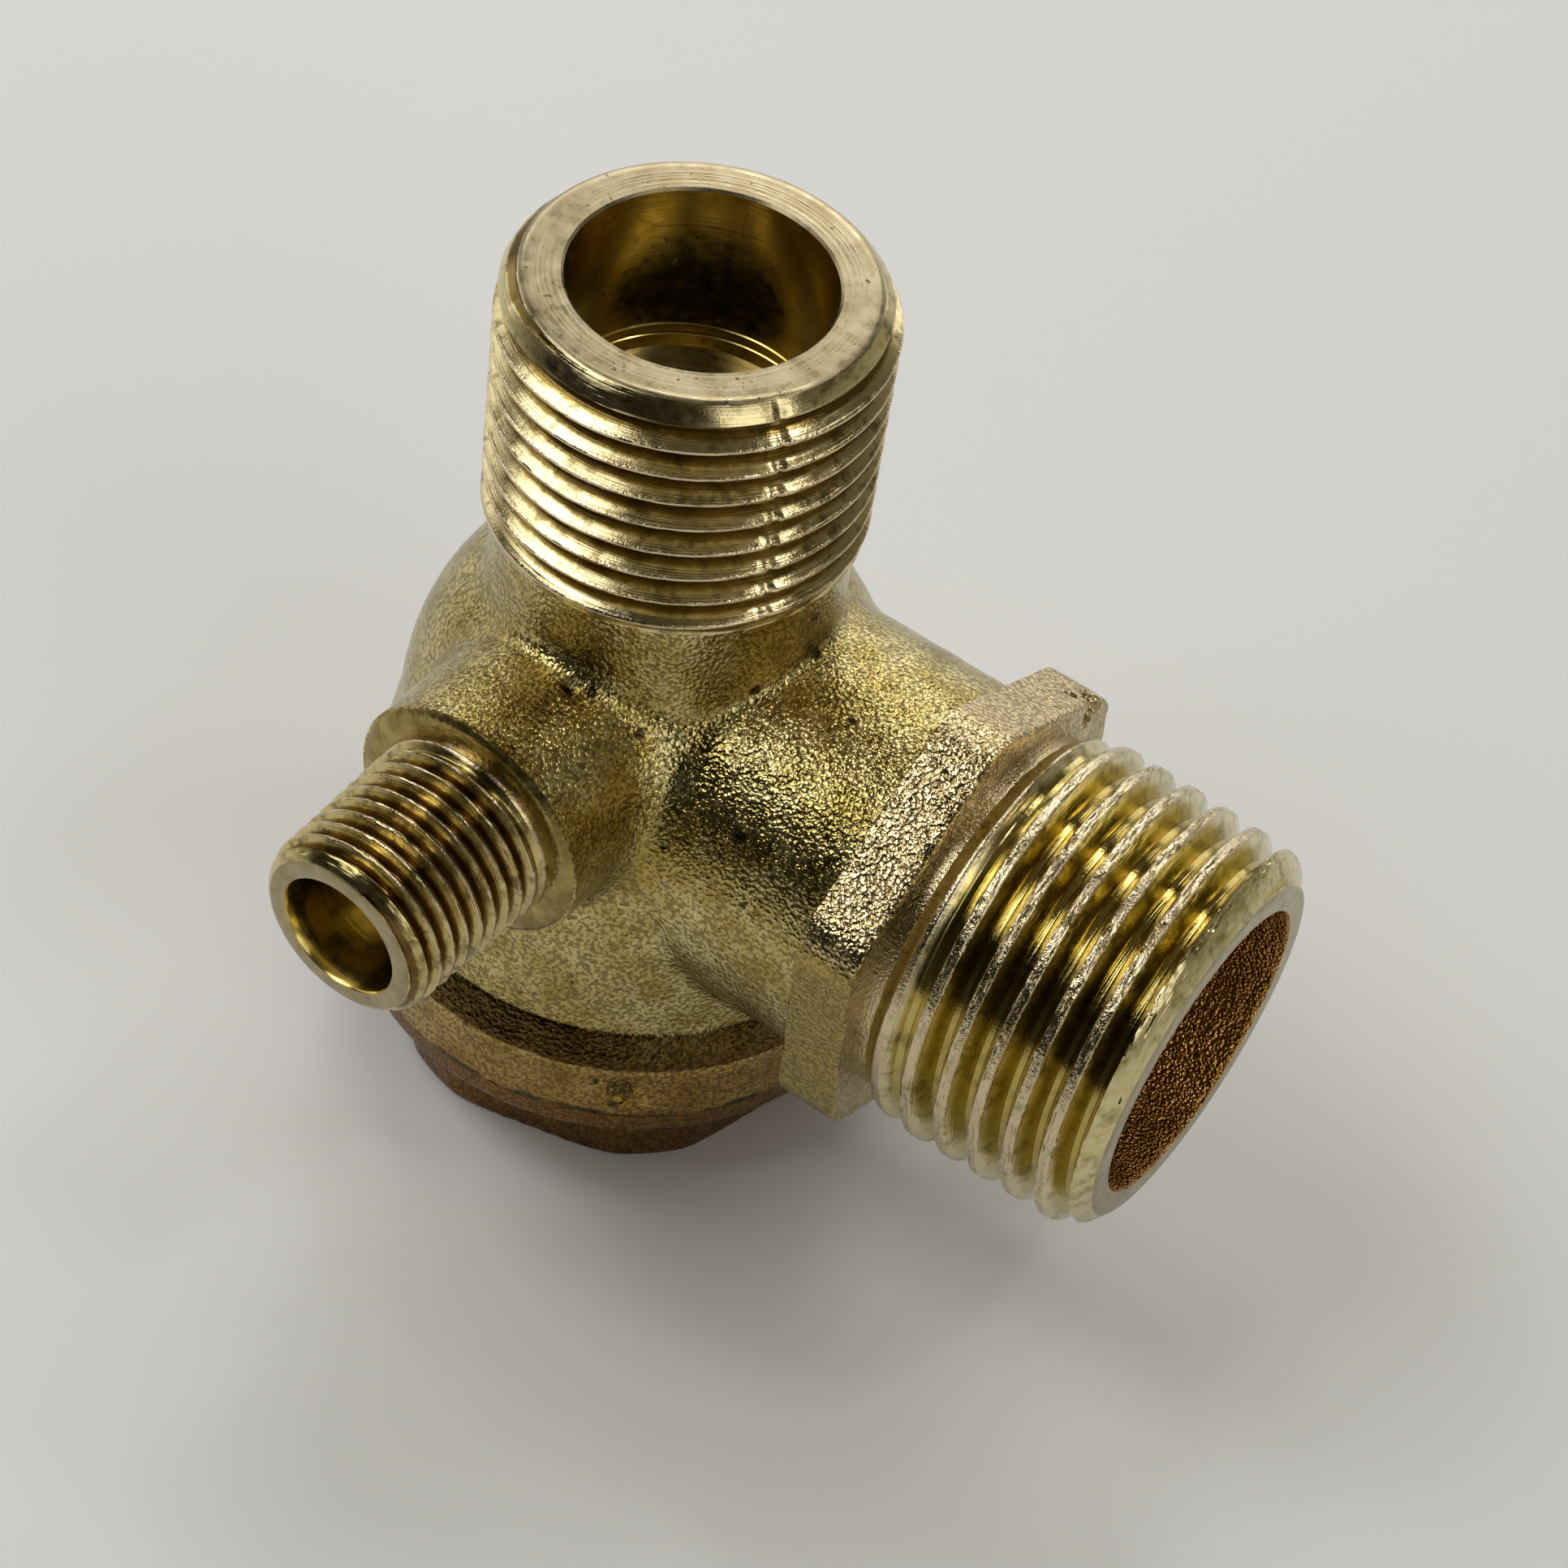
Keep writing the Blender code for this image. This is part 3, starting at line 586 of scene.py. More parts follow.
def add_piece(name, mesh, material, slot, *replaced, body="housing"):
    """Object on a body that stands for the CAD nodes it replaces; the slot argument is not used."""
    piece = new_object(name, mesh)
    mesh.materials.append(material)
    mesh.shade_smooth()
    mesh.set_sharp_from_angle(angle=SHARP_ANGLE)
    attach(piece, body)
    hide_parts(*replaced)
    return piece


def wave(points, length, depth, seed):
    """Low waves for each point, as on a forging's skin."""
    shift = Vector((seed * 7.3, seed * 3.1, seed * 5.7))
    heights = [noise.noise(Vector(point) / length + shift) for point in points]
    return np.array(heights) * depth


def roughen(points, field):
    """Push the points of a forging in and out along their normals."""
    normals = gradient(field, points.T).T
    heights = wave(points, WAVE_LENGTH, WAVE_DEPTH, 1)
    heights += wave(points, FINE_WAVE_LENGTH, WAVE_DEPTH / 2, 2)
    ragged = 1 + wave(points, PIT_RAGGED_LENGTH, PIT_RAGGED_SHARE, 3)
    for *centre, radius, depth in PITS:
        near = 1 - np.linalg.norm(points - centre, axis=1) / radius * ragged
        heights -= np.clip(near * PIT_STEEPNESS, 0, 1) * depth
    return points + normals * heights[:, None]


def build_forging(material):
    """Forged body without its machined ports."""
    low = (BODY_LOW.x - CONTOUR_MARGIN, FORGING_LOW_Y, BODY_LOW.z - CONTOUR_MARGIN)
    high = (COLLAR_END_X + CONTOUR_MARGIN, BODY_HIGH.y + CONTOUR_MARGIN, NECK_TOP_Z + CONTOUR_MARGIN)
    points, faces = contour(body_field, low, high, BODY_STEP)
    points = roughen(points, forging_field)
    mesh = quads_mesh("forging", points, faces.tolist())
    return add_piece("body_forging", mesh, material, "brass_body", "body")


def cap_field(points):
    """Screw cap: hexagon, thin rim under the flange, screw spigot, and the well for the spring."""
    radial = np.hypot(points[0], points[1])
    outline = hexagon_field(
        points[0], points[1], CAP_HEX_ACROSS_FLATS, CAP_HEX_CORNER_RADIUS, CAP_HEX_TURN
    )
    ends = np.maximum(-points[2], points[2] - CAP_RIM_LOW_Z - CAP_HEX_OVERLAP)
    field = meet(outline, ends, CAST_EDGE)
    outward, upward = CAP_CHAMFER_NORMAL
    chamfer = (radial - CAP_HEX_CORNER_RADIUS + CAP_CHAMFER_WIDTH) * outward + points[2] * upward
    field = np.maximum(field, chamfer)
    centre = (0, 0, 0)
    ends = np.maximum(CAP_RIM_LOW_Z - points[2], points[2] - CAP_RIM_TOP_Z)
    rim = meet(radial - CAP_RIM_RADIUS, ends, CHAMFER_EDGE)
    field = join(field, rim, CAP_RIM_FILLET)
    shank = on_axis(2, CAP_RIM_LOW_Z, COUNTERBORE_TOP_Z, CAP_SHANK_RADIUS, centre, points)
    spigot = on_axis(2, COUNTERBORE_TOP_Z, CAP_HIGH.z, CAP_SPIGOT_RADIUS, centre, points)
    field = np.minimum(np.minimum(field, shank), spigot)
    well_floor = CAP_HIGH.z - SPRING_WELL_DEPTH
    well = on_axis(2, well_floor, CAP_HIGH.z + CUT_OVERSHOOT, SPRING_WELL_RADIUS, centre, points)
    guide = on_axis(2, STEM_GUIDE_FLOOR_Z, CAP_HIGH.z, STEM_GUIDE_RADIUS, centre, points)
    return np.maximum(field, -np.minimum(well, guide))


def build_cap(material):
    """Screw cap under the flange."""
    low = (-CAP_REACH, -CAP_REACH, -CONTOUR_MARGIN)
    high = (CAP_REACH, CAP_REACH, CAP_HIGH.z + CONTOUR_MARGIN)
    points, faces = contour(cap_field, low, high, CAP_STEP)
    mesh = quads_mesh("cap_finish", points, faces.tolist())
    return add_piece("cap_forging", mesh, material, "brass_cap", "cap")


def thread_form(phase, crest_share, root_share):
    """Height of a thread, 0 at its root and 1 at its crest, for a phase of 0 at the crest's middle."""
    height = np.zeros_like(phase)
    for shift in (-CREST_ROUNDING, CREST_ROUNDING):
        away = np.abs((phase + shift + 0.5) % 1 - 0.5)
        flank = (0.5 - root_share / 2 - away) / (0.5 - root_share / 2 - crest_share / 2)
        height += np.clip(flank, 0, 1) / 2
    return height


def round_points(radius, along, angle):
    """Points round the Z axis."""
    return np.column_stack([radius * np.cos(angle), radius * np.sin(angle), np.full(len(angle), along)])


def grid_faces(number):
    """Faces of a grid of point numbers, with a triangle where two corners are the same point."""
    corners = [number[:-1, :-1], number[:-1, 1:], number[1:, 1:], number[1:, :-1]]
    quads = np.stack(corners, axis=-1).reshape(-1, 4)
    first_shut = quads[:, 0] == quads[:, 3]
    last_shut = quads[:, 1] == quads[:, 2]
    faces = quads[~first_shut & ~last_shut].tolist()
    faces += quads[first_shut & ~last_shut][:, [0, 1, 2]].tolist()
    faces += quads[~first_shut & last_shut][:, [0, 1, 3]].tolist()
    return faces


def helix_grid(start, end, pitch, rows, columns):
    """Points along a helix: each one's place along the port, turn and phase on the thread, and the faces.

    The first points are the ring at the start and the ring at the end. Points of the helix past an end
    are pulled onto its ring.
    """
    spacing = pitch / rows
    row = np.arange(math.floor(start / spacing) - rows, math.ceil(end / spacing) + 1)
    turn = np.arange(columns) / columns
    along = (row[:, None] / rows + turn[None, :]) * pitch
    low = along < start + END_SNAP * spacing
    free = ~low & (along < end - END_SNAP * spacing)
    number = np.where(low, np.arange(columns)[None, :], columns + np.arange(columns)[None, :])
    number[free] = 2 * columns + np.arange(free.sum())
    wrapped = np.full(len(row), columns)
    wrapped[: len(row) - rows] = number[rows:, 0]
    ring_turn = np.concatenate([turn, turn])
    ring_along = np.repeat([start, end], columns)
    row_phase = np.broadcast_to((row / rows)[:, None], along.shape)[free]
    phase = np.concatenate([ring_along / pitch - ring_turn, row_phase])
    along = np.concatenate([ring_along, along[free]])
    turn = np.concatenate([ring_turn, np.broadcast_to(turn[None, :], free.shape)[free]])
    return along, turn, phase, grid_faces(np.column_stack([number, wrapped]))


def rounded_chamfer(away, length, height):
    """Radius gained over a worn end chamfer, by the distance from the end face."""
    share = away / length
    return height * (1 - (1 - np.clip(share, 0, 1)) ** CHAMFER_ROUNDING + np.maximum(share - 1, 0))


def thread_surface(port, along, height):
    """Radius of a thread's surface, its tone from crest to root, and how proud of the root it stands."""
    crest, full_depth = np.inf, port["depth"]
    if "neck" in port:
        places, radii = port["neck"]
        crest = np.interp(along, port["foot"] + np.array(places), radii)
    if "gauge" in port:
        radius, away = port["gauge"]
        crest = np.minimum(radius + (port["face"] - along - away) * PIPE_TAPER / 2, crest)
    depth = np.interp(along, port["foot"] + np.array(port["runout"]), [0, full_depth])
    end_radius, length, rise = port["chamfer"]
    chamfer = end_radius + rounded_chamfer(port["face"] - along, length, rise)
    value = np.minimum(crest - depth * (1 - height), chamfer)
    groove = np.where(value < chamfer, (crest - value) / full_depth, CHAMFER_GROOVE_TONE)
    return value, np.clip(groove, 0, 1), height * depth / full_depth


def helix_skin(port):
    """Threaded outside of a port: its points, how deep each lies in the groove, and its faces.

    The rows of points run along the helix, so that crests and roots stay crisp.
    """
    start, end = port["foot"] - port["sleeve"], port["face"] - port["edges"][0][1]
    along, turn, phase, faces = helix_grid(start, end, port["pitch"], port["rows"], port["columns"])
    height = thread_form(phase, port["crest_share"], port["root_share"])
    radius, groove, proud = thread_surface(port, along, height)
    points = worn(round_points(radius, along, turn * 2 * math.pi), proud, port["wear"])
    if "scratch" in port:
        points = scratched(points, proud, port["scratch"])
    return points, groove, faces


def ring_faces(ring, following):
    """Quads between two rings of the same number of points."""
    count = len(ring)
    sides = zip(range(count), [*range(1, count), 0])
    return [(ring[near], ring[far], following[far], following[near]) for near, far in sides]


def pressed_in(points, depth):
    """Points moved towards the Z axis."""
    scale = 1 - depth / np.hypot(points[:, 0], points[:, 1])
    return points * np.column_stack([scale, scale, np.ones_like(scale)])


def worn(points, proud, wear):
    """Crests torn and pressed out of line, most where a point stands high on the thread."""
    length, depth, waves = wear
    shift = Vector(SLOW_PLACE)
    tears = [noise.noise(Vector((x, y, TEAR_STRETCH * z)) / length) for x, y, z in points]
    slow = [noise.noise(Vector((x, y, SLOW_STRETCH * z)) / SLOW_LENGTH + shift) for x, y, z in points]
    torn = np.maximum(np.array(tears) - TEAR_START, 0) * depth * proud
    return pressed_in(points, torn + np.array(slow) * waves)


def scratched(points, proud, scratch):
    """One long scratch across the crests, from a top angle to a bottom one, of a width and a depth."""
    top, bottom, width, depth = scratch
    height = (points[:, 2] - points[:, 2].min()) / np.ptp(points[:, 2])
    radial = np.hypot(points[:, 0], points[:, 1])
    away = np.abs(np.arctan2(points[:, 1], points[:, 0]) - bottom - (top - bottom) * height) * radial
    return pressed_in(points, np.clip(1 - away / width, 0, 1) * depth * proud)


def inside_points(port):
    """Rings of the end face and bore as (radius, along, finish), close enough together for each stretch."""
    rings = [port["inside"][0][:3]]
    for before, (radius, along, finish, spacing) in zip(port["inside"], port["inside"][1:]):
        count = max(1, round(math.dist(before[:2], (radius, along)) / spacing))
        for step in range(1, count + 1):
            share = step / count
            middle = before[0] + (radius - before[0]) * share
            rings.append((middle, before[1] + (along - before[1]) * share, finish))
    return rings


def build_port(name, port, finishes, matrix):
    """Sleeve of a port: threaded outside, end face, bore, and the way back inside the forging."""
    points, groove, faces = helix_skin(port)
    columns = port["columns"]
    ring = list(range(columns, 2 * columns))
    slots = [0] * len(faces)
    angles = np.arange(columns) * 2 * math.pi / columns
    rows = [points]
    total = len(points)
    rings = inside_points(port)
    for radius, along, finish in rings:
        following = list(range(total, total + columns))
        total += columns
        radii = np.full(columns, radius)
        if finish == ROUGH:
            radii = radii + rough_bore(angles, radius, along)
        rows.append(round_points(radii, along, angles))
        faces += ring_faces(ring, following)
        slots += [finish] * columns
        ring = following
    faces += ring_faces(ring, list(range(columns)))
    slots += [port.get("closing", MACHINED)] * columns
    points = np.concatenate(rows)
    mesh = quads_mesh(name, points, faces)
    depth = mesh.attributes.new("groove", "FLOAT", "POINT")
    depth.data.foreach_set("value", np.concatenate([groove, np.zeros(columns * len(rings))]))
    lathe = mesh.attributes.new("lathe", "FLOAT", "POINT")
    lathe.data.foreach_set("value", np.hypot(points[:, 0], points[:, 1]) - points[:, 2])
    mesh.transform(matrix)
    piece = add_piece(name, mesh, finishes[0], "brass_body", "body")
    for finish in finishes[1:]:
        mesh.materials.append(finish)
    mesh.polygons.foreach_set("material_index", slots)
    return piece


def rough_bore(angles, radius, along):
    """How far each point of a cast bore's ring lies outward."""
    places = [Vector((radius * math.cos(angle), radius * math.sin(angle), along)) for angle in angles]
    heights = np.zeros(len(places))
    for length, depth in BORE_WAVES:
        heights += [noise.noise(place / length) * depth for place in places]
    return heights


def end_rings(port, bore_radius, spacing, finish):
    """Rings of a port's end face, from its outer edge to the start of its bore."""
    (outer_width, _), (inner_width, inner_depth) = port["edges"]
    return [
        (port["chamfer"][0] - outer_width, port["face"], MACHINED, 1),
        (bore_radius + inner_width, port["face"], MACHINED, spacing),
        (bore_radius, port["face"] - inner_depth, finish, 1),
    ]


def build_inlet(finishes):
    """Inlet port: M18 x 1.5 outside, a smooth bore with rings near its floor, and the valve seat."""
    port = {**INLET, "face": INLET_FACE_Z, "foot": INLET_FACE_Z - INLET_THREAD_LENGTH}
    floor = INLET_FACE_Z - INLET_BORE_DEPTH
    passage_top = floor - FLOOR_CONE_DEPTH
    sleeve_radius = PASSAGE_RADIUS + SLEEVE_WALL
    port["inside"] = [
        *end_rings(port, INLET_BORE_RADIUS, 0.3, MACHINED),
        *[(INLET_BORE_RADIUS + extra, floor + rise, BORED, 1) for rise, extra in INLET_BORE_RINGS],
        (INLET_BORE_RADIUS, floor, BORED, 1),
        (PASSAGE_RADIUS + PASSAGE_EDGE, passage_top, MACHINED, 0.4),
        (PASSAGE_RADIUS, passage_top - PASSAGE_EDGE, MACHINED, 1),
        (PASSAGE_RADIUS, SEAT_Z, BORED, 2),
        (SEAT_RIM_RADIUS, SEAT_Z, MACHINED, 1),
        (SEAT_RIM_RADIUS, CHAMBER_TOP_Z + SEAT_RIM_OVERLAP, MACHINED, 1),
        (sleeve_radius, CHAMBER_TOP_Z + SLEEVE_WALL, MACHINED, 1),
        (sleeve_radius, port["foot"] - INLET_SLEEVE_END, MACHINED, 4),
    ]
    return build_port("inlet_port", port, finishes, Matrix.Identity(4))


def build_outlet(finishes):
    """Outlet port: R 1/2 taper thread with torn crests, and a rough cast bore."""
    port = {**OUTLET, "face": OUTLET_FACE_X, "foot": COLLAR_END_X}
    deep_end = OUTLET_FACE_X - OUTLET_BORE_DEPTH
    inner_radius = OUTLET_BORE_RADIUS - OUTLET_BORE_DRAFT
    sleeve_radius = inner_radius + OUTLET_SLEEVE_WALL
    port["inside"] = [
        *end_rings(port, OUTLET_BORE_RADIUS, 0.4, ROUGH),
        (inner_radius, deep_end, ROUGH, 0.22),
        (sleeve_radius, deep_end, MACHINED, 1),
        (sleeve_radius, COLLAR_END_X - OUTLET_SLEEVE_END, MACHINED, 2),
    ]
    turned = Matrix(((0, 0, 1, 0), (1, 0, 0, 0), (0, 1, 0, OUTLET_AXIS_Z * MM), (0, 0, 0, 1)))
    return build_port("outlet_port", port, finishes, turned)


def build_unloader(finishes):
    """Unloader port: R 1/8 taper thread on a machined shoulder."""
    shoulder = UNLOADER_FACE_REACH - UNLOADER_THREAD_LENGTH
    port = {**UNLOADER, "face": UNLOADER_FACE_REACH, "foot": shoulder, "closing": SHOULDER}
    bore_end = UNLOADER_FACE_REACH - UNLOADER_BORE_DEPTH
    inner = shoulder - UNLOADER_SLEEVE_LENGTH
    sleeve_radius = UNLOADER_HOLE_RADIUS + UNLOADER_SLEEVE_WALL
    base = shoulder - SHOULDER_DEPTH
    port["inside"] = [
        *end_rings(port, UNLOADER_BORE_RADIUS, 0.3, BORED),
        (UNLOADER_BORE_RADIUS, bore_end, BORED, 1),
        (UNLOADER_HOLE_RADIUS, bore_end - UNLOADER_CONE_LENGTH, BORED, 1),
        (UNLOADER_HOLE_RADIUS, inner, BORED, 2),
        (sleeve_radius, inner, MACHINED, 1),
        (sleeve_radius, base, MACHINED, 2),
        (BOSS_RADIUS - SHOULDER_INSET, base, SHOULDER, 5),
        *[(BOSS_RADIUS - inset, shoulder - drop, SHOULDER, 1) for inset, drop in SHOULDER_EDGE],
    ]
    turned = Matrix(((1, 0, 0, 0), (0, 0, -1, 0), (0, 1, 0, UNLOADER_AXIS_Z * MM), (0, 0, 0, 1)))
    return build_port("unloader_port", port, finishes, turned)


def build_spring(material):
    """Return spring as a fine coil."""
    low, high = SPRING_LOW.z + SPRING_WIRE / 2, SPRING_HIGH.z - SPRING_WIRE / 2
    steps, sides = SPRING_STEPS_PER_TURN * SPRING_TURNS, SPRING_SIDES
    share = np.arange(steps + 1) / steps
    angle = share * SPRING_TURNS * 2 * math.pi
    closed = 1 / SPRING_TURNS
    rise = np.interp(share, [0, closed, 1 - closed, 1], [0, SPRING_CLOSED_RISE, 1 - SPRING_CLOSED_RISE, 1])
    coil_radius = SPRING_HIGH.x - SPRING_WIRE / 2
    rings = []
    for side in range(sides):
        around = 2 * math.pi * side / sides
        radius = coil_radius + math.cos(around) * SPRING_WIRE / 2
        height = low + rise * (high - low) + math.sin(around) * SPRING_WIRE / 2
        rings.append(round_points(radius, height, angle))
    points = np.stack(rings, axis=1).reshape(-1, 3)
    faces = []
    for step in range(steps):
        near = [step * sides + side for side in range(sides)]
        faces += ring_faces(near, [place + sides for place in near])
    faces.append(tuple(range(sides))[::-1])
    faces.append(tuple(steps * sides + side for side in range(sides)))
    mesh = quads_mesh("spring_coil", points, [face[::-1] for face in faces])
    piece = add_piece("spring_coil", mesh, material, "spring_steel", "return_spring")
    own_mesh(piece)
    return piece


def build_holder(material):
    """Turned poppet: a cup for the seal disc, on a guide stem."""
    low, high, rim = HOLDER_LOW.z, HOLDER_HIGH.z, HOLDER_HIGH.x
    under, floor = high - HOLDER_HEAD, high - HOLDER_CUP
    stem, inner = HOLDER_STEM_RADIUS, rim - HOLDER_WALL
    profile = [
        (stem - HOLDER_EDGE, low), (stem, low + HOLDER_EDGE), (stem, under),
        (rim - HOLDER_EDGE, under), (rim, under + HOLDER_EDGE),
        (rim, high), (inner, high), (inner, floor),
    ]
    angles = np.arange(HOLDER_COLUMNS) * 2 * math.pi / HOLDER_COLUMNS
    rows = [round_points(radius, along, angles) for radius, along in profile]
    rings = np.arange(len(profile) * HOLDER_COLUMNS).reshape(-1, HOLDER_COLUMNS).tolist()
    faces = [face for ring, following in zip(rings, rings[1:]) for face in ring_faces(ring, following)]
    faces += [rings[0][::-1], rings[-1]]
    mesh = quads_mesh("holder_turned", np.concatenate(rows), faces)
    return add_piece("holder_turned", mesh, material, "brass_turned", "valve_holder", body="poppet")


def darker(colour, share):
    """Colour with its values brought down to a share."""
    return [value * share for value in colour]


def feed(node, values):
    """Set a node's inputs, by name or number, to values, or link them to other nodes' sockets."""
    for name, value in values.items():
        if isinstance(value, bpy.types.NodeSocket):
            node.id_data.links.new(value, node.inputs[name])
        elif value is not None:
            node.inputs[name].default_value = value


def new_node(tree, kind, values, **settings):
    """New node with its inputs and settings."""
    node = tree.nodes.new("ShaderNode" + kind)
    for name, setting in settings.items():
        setattr(node, name, setting)
    feed(node, values)
    return node


class Shader:
    """Nodes of one material, added by short calls. Sizes are in millimetres."""

    def __init__(self, name):
        self.material = bpy.data.materials.new(name)
        self.material.use_nodes = True
        self.tree = self.material.node_tree
        self.surface = self.tree.nodes["Principled BSDF"]
        self.place = self.tree.nodes.new("ShaderNodeTexCoord").outputs["Object"]

    def node(self, kind, values, **settings):
        """New node with its inputs and settings."""
        return new_node(self.tree, kind, values, **settings)

    def principled(self, **values):
        """The material, with the values of its surface."""
        feed(self.surface, {name.replace("_", " "): value for name, value in values.items()})
        return self.material

    def metal(self, colour, roughness, normal):
        """The material, as a metal."""
        return self.principled(Base_Color=colour, Metallic=1.0, Roughness=roughness, Normal=normal)

    def noise(self, size, detail=2.0, roughness=0.5, distortion=0.0):
        """Noise from 0 to 1 with features of about a size."""
        values = {
            "Vector": self.place, "Scale": 1 / (size * MM), "Detail": detail,
            "Roughness": roughness, "Distortion": distortion,
        }
        return self.node("TexNoise", values).outputs["Fac"]

    def cells(self, size):
        """Distance to the middle of the nearest cell, with cells of about a size."""
        values = {"Vector": self.place, "Scale": 1 / (size * MM)}
        return self.node("TexVoronoi", values).outputs["Distance"]

    def turning(self, size):
        """Noise in rings of about a size, as a lathe tool leaves them."""
        values = {"W": self.attribute("lathe"), "Scale": 1 / size, "Detail": 2.0}
        return self.node("TexNoise", values, noise_dimensions="1D").outputs["Fac"]

    def tone(self, size):
        """Cloudy share from 0 to 1, for a mottled colour."""
        return self.rescale(self.noise(size, 3.0, 0.6), *TONE_LIMITS)

    def gloss(self, noise, roughness, below, above):
        """Roughness that follows a noise from a little below its value to a little above."""
        return self.rescale(noise, *GLOSS_LIMITS, roughness - below, roughness + above)

    def spots(self, places):
        """Share from 0 to 1 that is 1 inside ragged spots, given as (x, y, z, radius)."""
        ragged = self.noise(0.3, 2.0, 0.7)
        total = 0.0
        for *centre, radius in places:
            values = {0: self.place, 1: [value * MM for value in centre]}
            away = self.node("VectorMath", values, operation="DISTANCE").outputs["Value"]
            near = self.rescale(away, radius * MM, 0)
            spot = self.rescale(self.math("MULTIPLY", near, ragged), *SPOT_LIMITS)
            total = self.math("MAXIMUM", total, spot)
        return total

    def along(self, axis):
        """Place on an axis, in metres."""
        return self.node("SeparateXYZ", {0: self.place}).outputs[axis]

    def past(self, place, edge, softness=TONE_EDGE):
        """Share that is 1 past an edge and 0 before it, or the other way round for a negative softness."""
        return self.rescale(place, (edge - softness) * MM, (edge + softness) * MM)

    def band(self, axis, low, high):
        """Share that is 1 between two places on an axis."""
        place = self.along(axis)
        return self.math("MULTIPLY", self.past(place, low), self.past(place, high, -TONE_EDGE))

    def outside(self, radius):
        """Share that is 1 further from the Z axis than a radius."""
        flat = self.node("VectorMath", {0: self.place, 1: (1, 1, 0)}, operation="MULTIPLY")
        away = self.node("VectorMath", {0: flat.outputs["Vector"]}, operation="LENGTH")
        return self.past(away.outputs["Value"], radius)

    def attribute(self, name):
        """Value that the mesh carries at each point."""
        return self.node("Attribute", {}, attribute_name=name).outputs["Fac"]

    def rescale(self, value, low, high, new_low=0.0, new_high=1.0):
        """Value from low to high brought to new_low to new_high, and kept within them."""
        values = {"Value": value, "From Min": low, "From Max": high, "To Min": new_low, "To Max": new_high}
        return self.node("MapRange", values).outputs["Result"]

    def math(self, operation, first, second):
        """Result of an operation on two values."""
        return self.node("Math", {0: first, 1: second}, operation=operation).outputs["Value"]

    def mix(self, share, first, second, blend="MIX"):
        """Colour from first to second by a share; each is a socket or (red, green, blue)."""
        colours = [one if isinstance(one, bpy.types.NodeSocket) else (*one, 1) for one in (first, second)]
        values = {"Factor": share, 6: colours[0], 7: colours[1]}
        return self.node("Mix", values, data_type="RGBA", blend_type=blend).outputs[2]

    def bump(self, height, depth, normal=None):
        """Normal pushed by a height from 0 to 1, over a depth."""
        values = {"Height": height, "Distance": depth * MM, "Normal": normal}
        return self.node("Bump", values).outputs["Normal"]


def forged_brass(name, light, dark, roughness, bump_depth):
    """Blasted forging: fine grain with painted shade in its valleys, mottled tone, small dark spots,
    painted shade that makes it browner towards its foot, and painted light and shade on the collar's flats.
    """
    shader = Shader(name)
    cells = shader.math("MULTIPLY", shader.cells(GRAIN_CELL_SIZE), GRAIN_CELL_SHARE)
    height = shader.math("SUBTRACT", shader.noise(GRAIN_SIZE, 1.0, 0.6, 0.3), cells)
    # Painted shade in the grain's valleys
    valley_shade = shader.rescale(height, *VALLEY_SHADE_LIMITS, 0.0, VALLEY_SHADE_SHARE)
    colour = shader.mix(shader.tone(MOTTLE_SIZE), dark, light)
    colour = shader.mix(valley_shade, colour, darker(dark, DIRT_AND_SHADE_SHARE))
    up = shader.along("Z")
    # Painted shade, darker and browner towards the foot
    foot = shader.rescale(up, FOOT_TOP_Z * MM, FOOT_LOW_Z * MM)
    colour = shader.mix(foot, colour, FOOT_SHADE_TINT, "MULTIPLY")
    band = shader.band("Z", FLANGE_CHAMFER_Z, FLANGE_TOP_Z)
    band = shader.math("MULTIPLY", band, shader.outside(FLANGE_TOP_RADIUS))
    colour = shader.mix(band, colour, BAND_TINT, "MULTIPLY")
    # Painted light and shade: the collar's upper flats lit, its lower flats shaded
    lit_share = shader.past(up, COLLAR_CORNER_Z, COLLAR_CORNER_SOFTNESS)
    flats = shader.mix(lit_share, COLLAR_SHADED_COLOUR, COLLAR_LIT_COLOUR)
    # Painted shade in the grain's valleys on the collar
    flats = shader.mix(valley_shade, flats, darker(COLLAR_SHADED_COLOUR, COLLAR_VALLEY_SHADE_SHARE))
    colour = shader.mix(shader.band("X", COLLAR_START_X, COLLAR_END_X), colour, flats)
    specks = shader.rescale(shader.noise(0.9, 2.0, 0.7), *SPECK_LIMITS)
    specks = shader.math("MAXIMUM", specks, shader.spots(BODY_SPOTS))
    seam = shader.band("Z", FLANGE_BOTTOM_Z - SEAM_LINE_REACH, FLANGE_BOTTOM_Z + SEAM_LINE_REACH)
    seam = shader.math("MULTIPLY", seam, shader.rescale(shader.noise(2.5), *SEAM_LINE_LIMITS))
    colour = shader.mix(shader.math("MAXIMUM", specks, seam), colour, SPECK_COLOUR)
    gloss = shader.gloss(shader.noise(1.1), roughness, 0.06, 0.08)
    return shader.metal(colour, gloss, shader.bump(height, bump_depth))


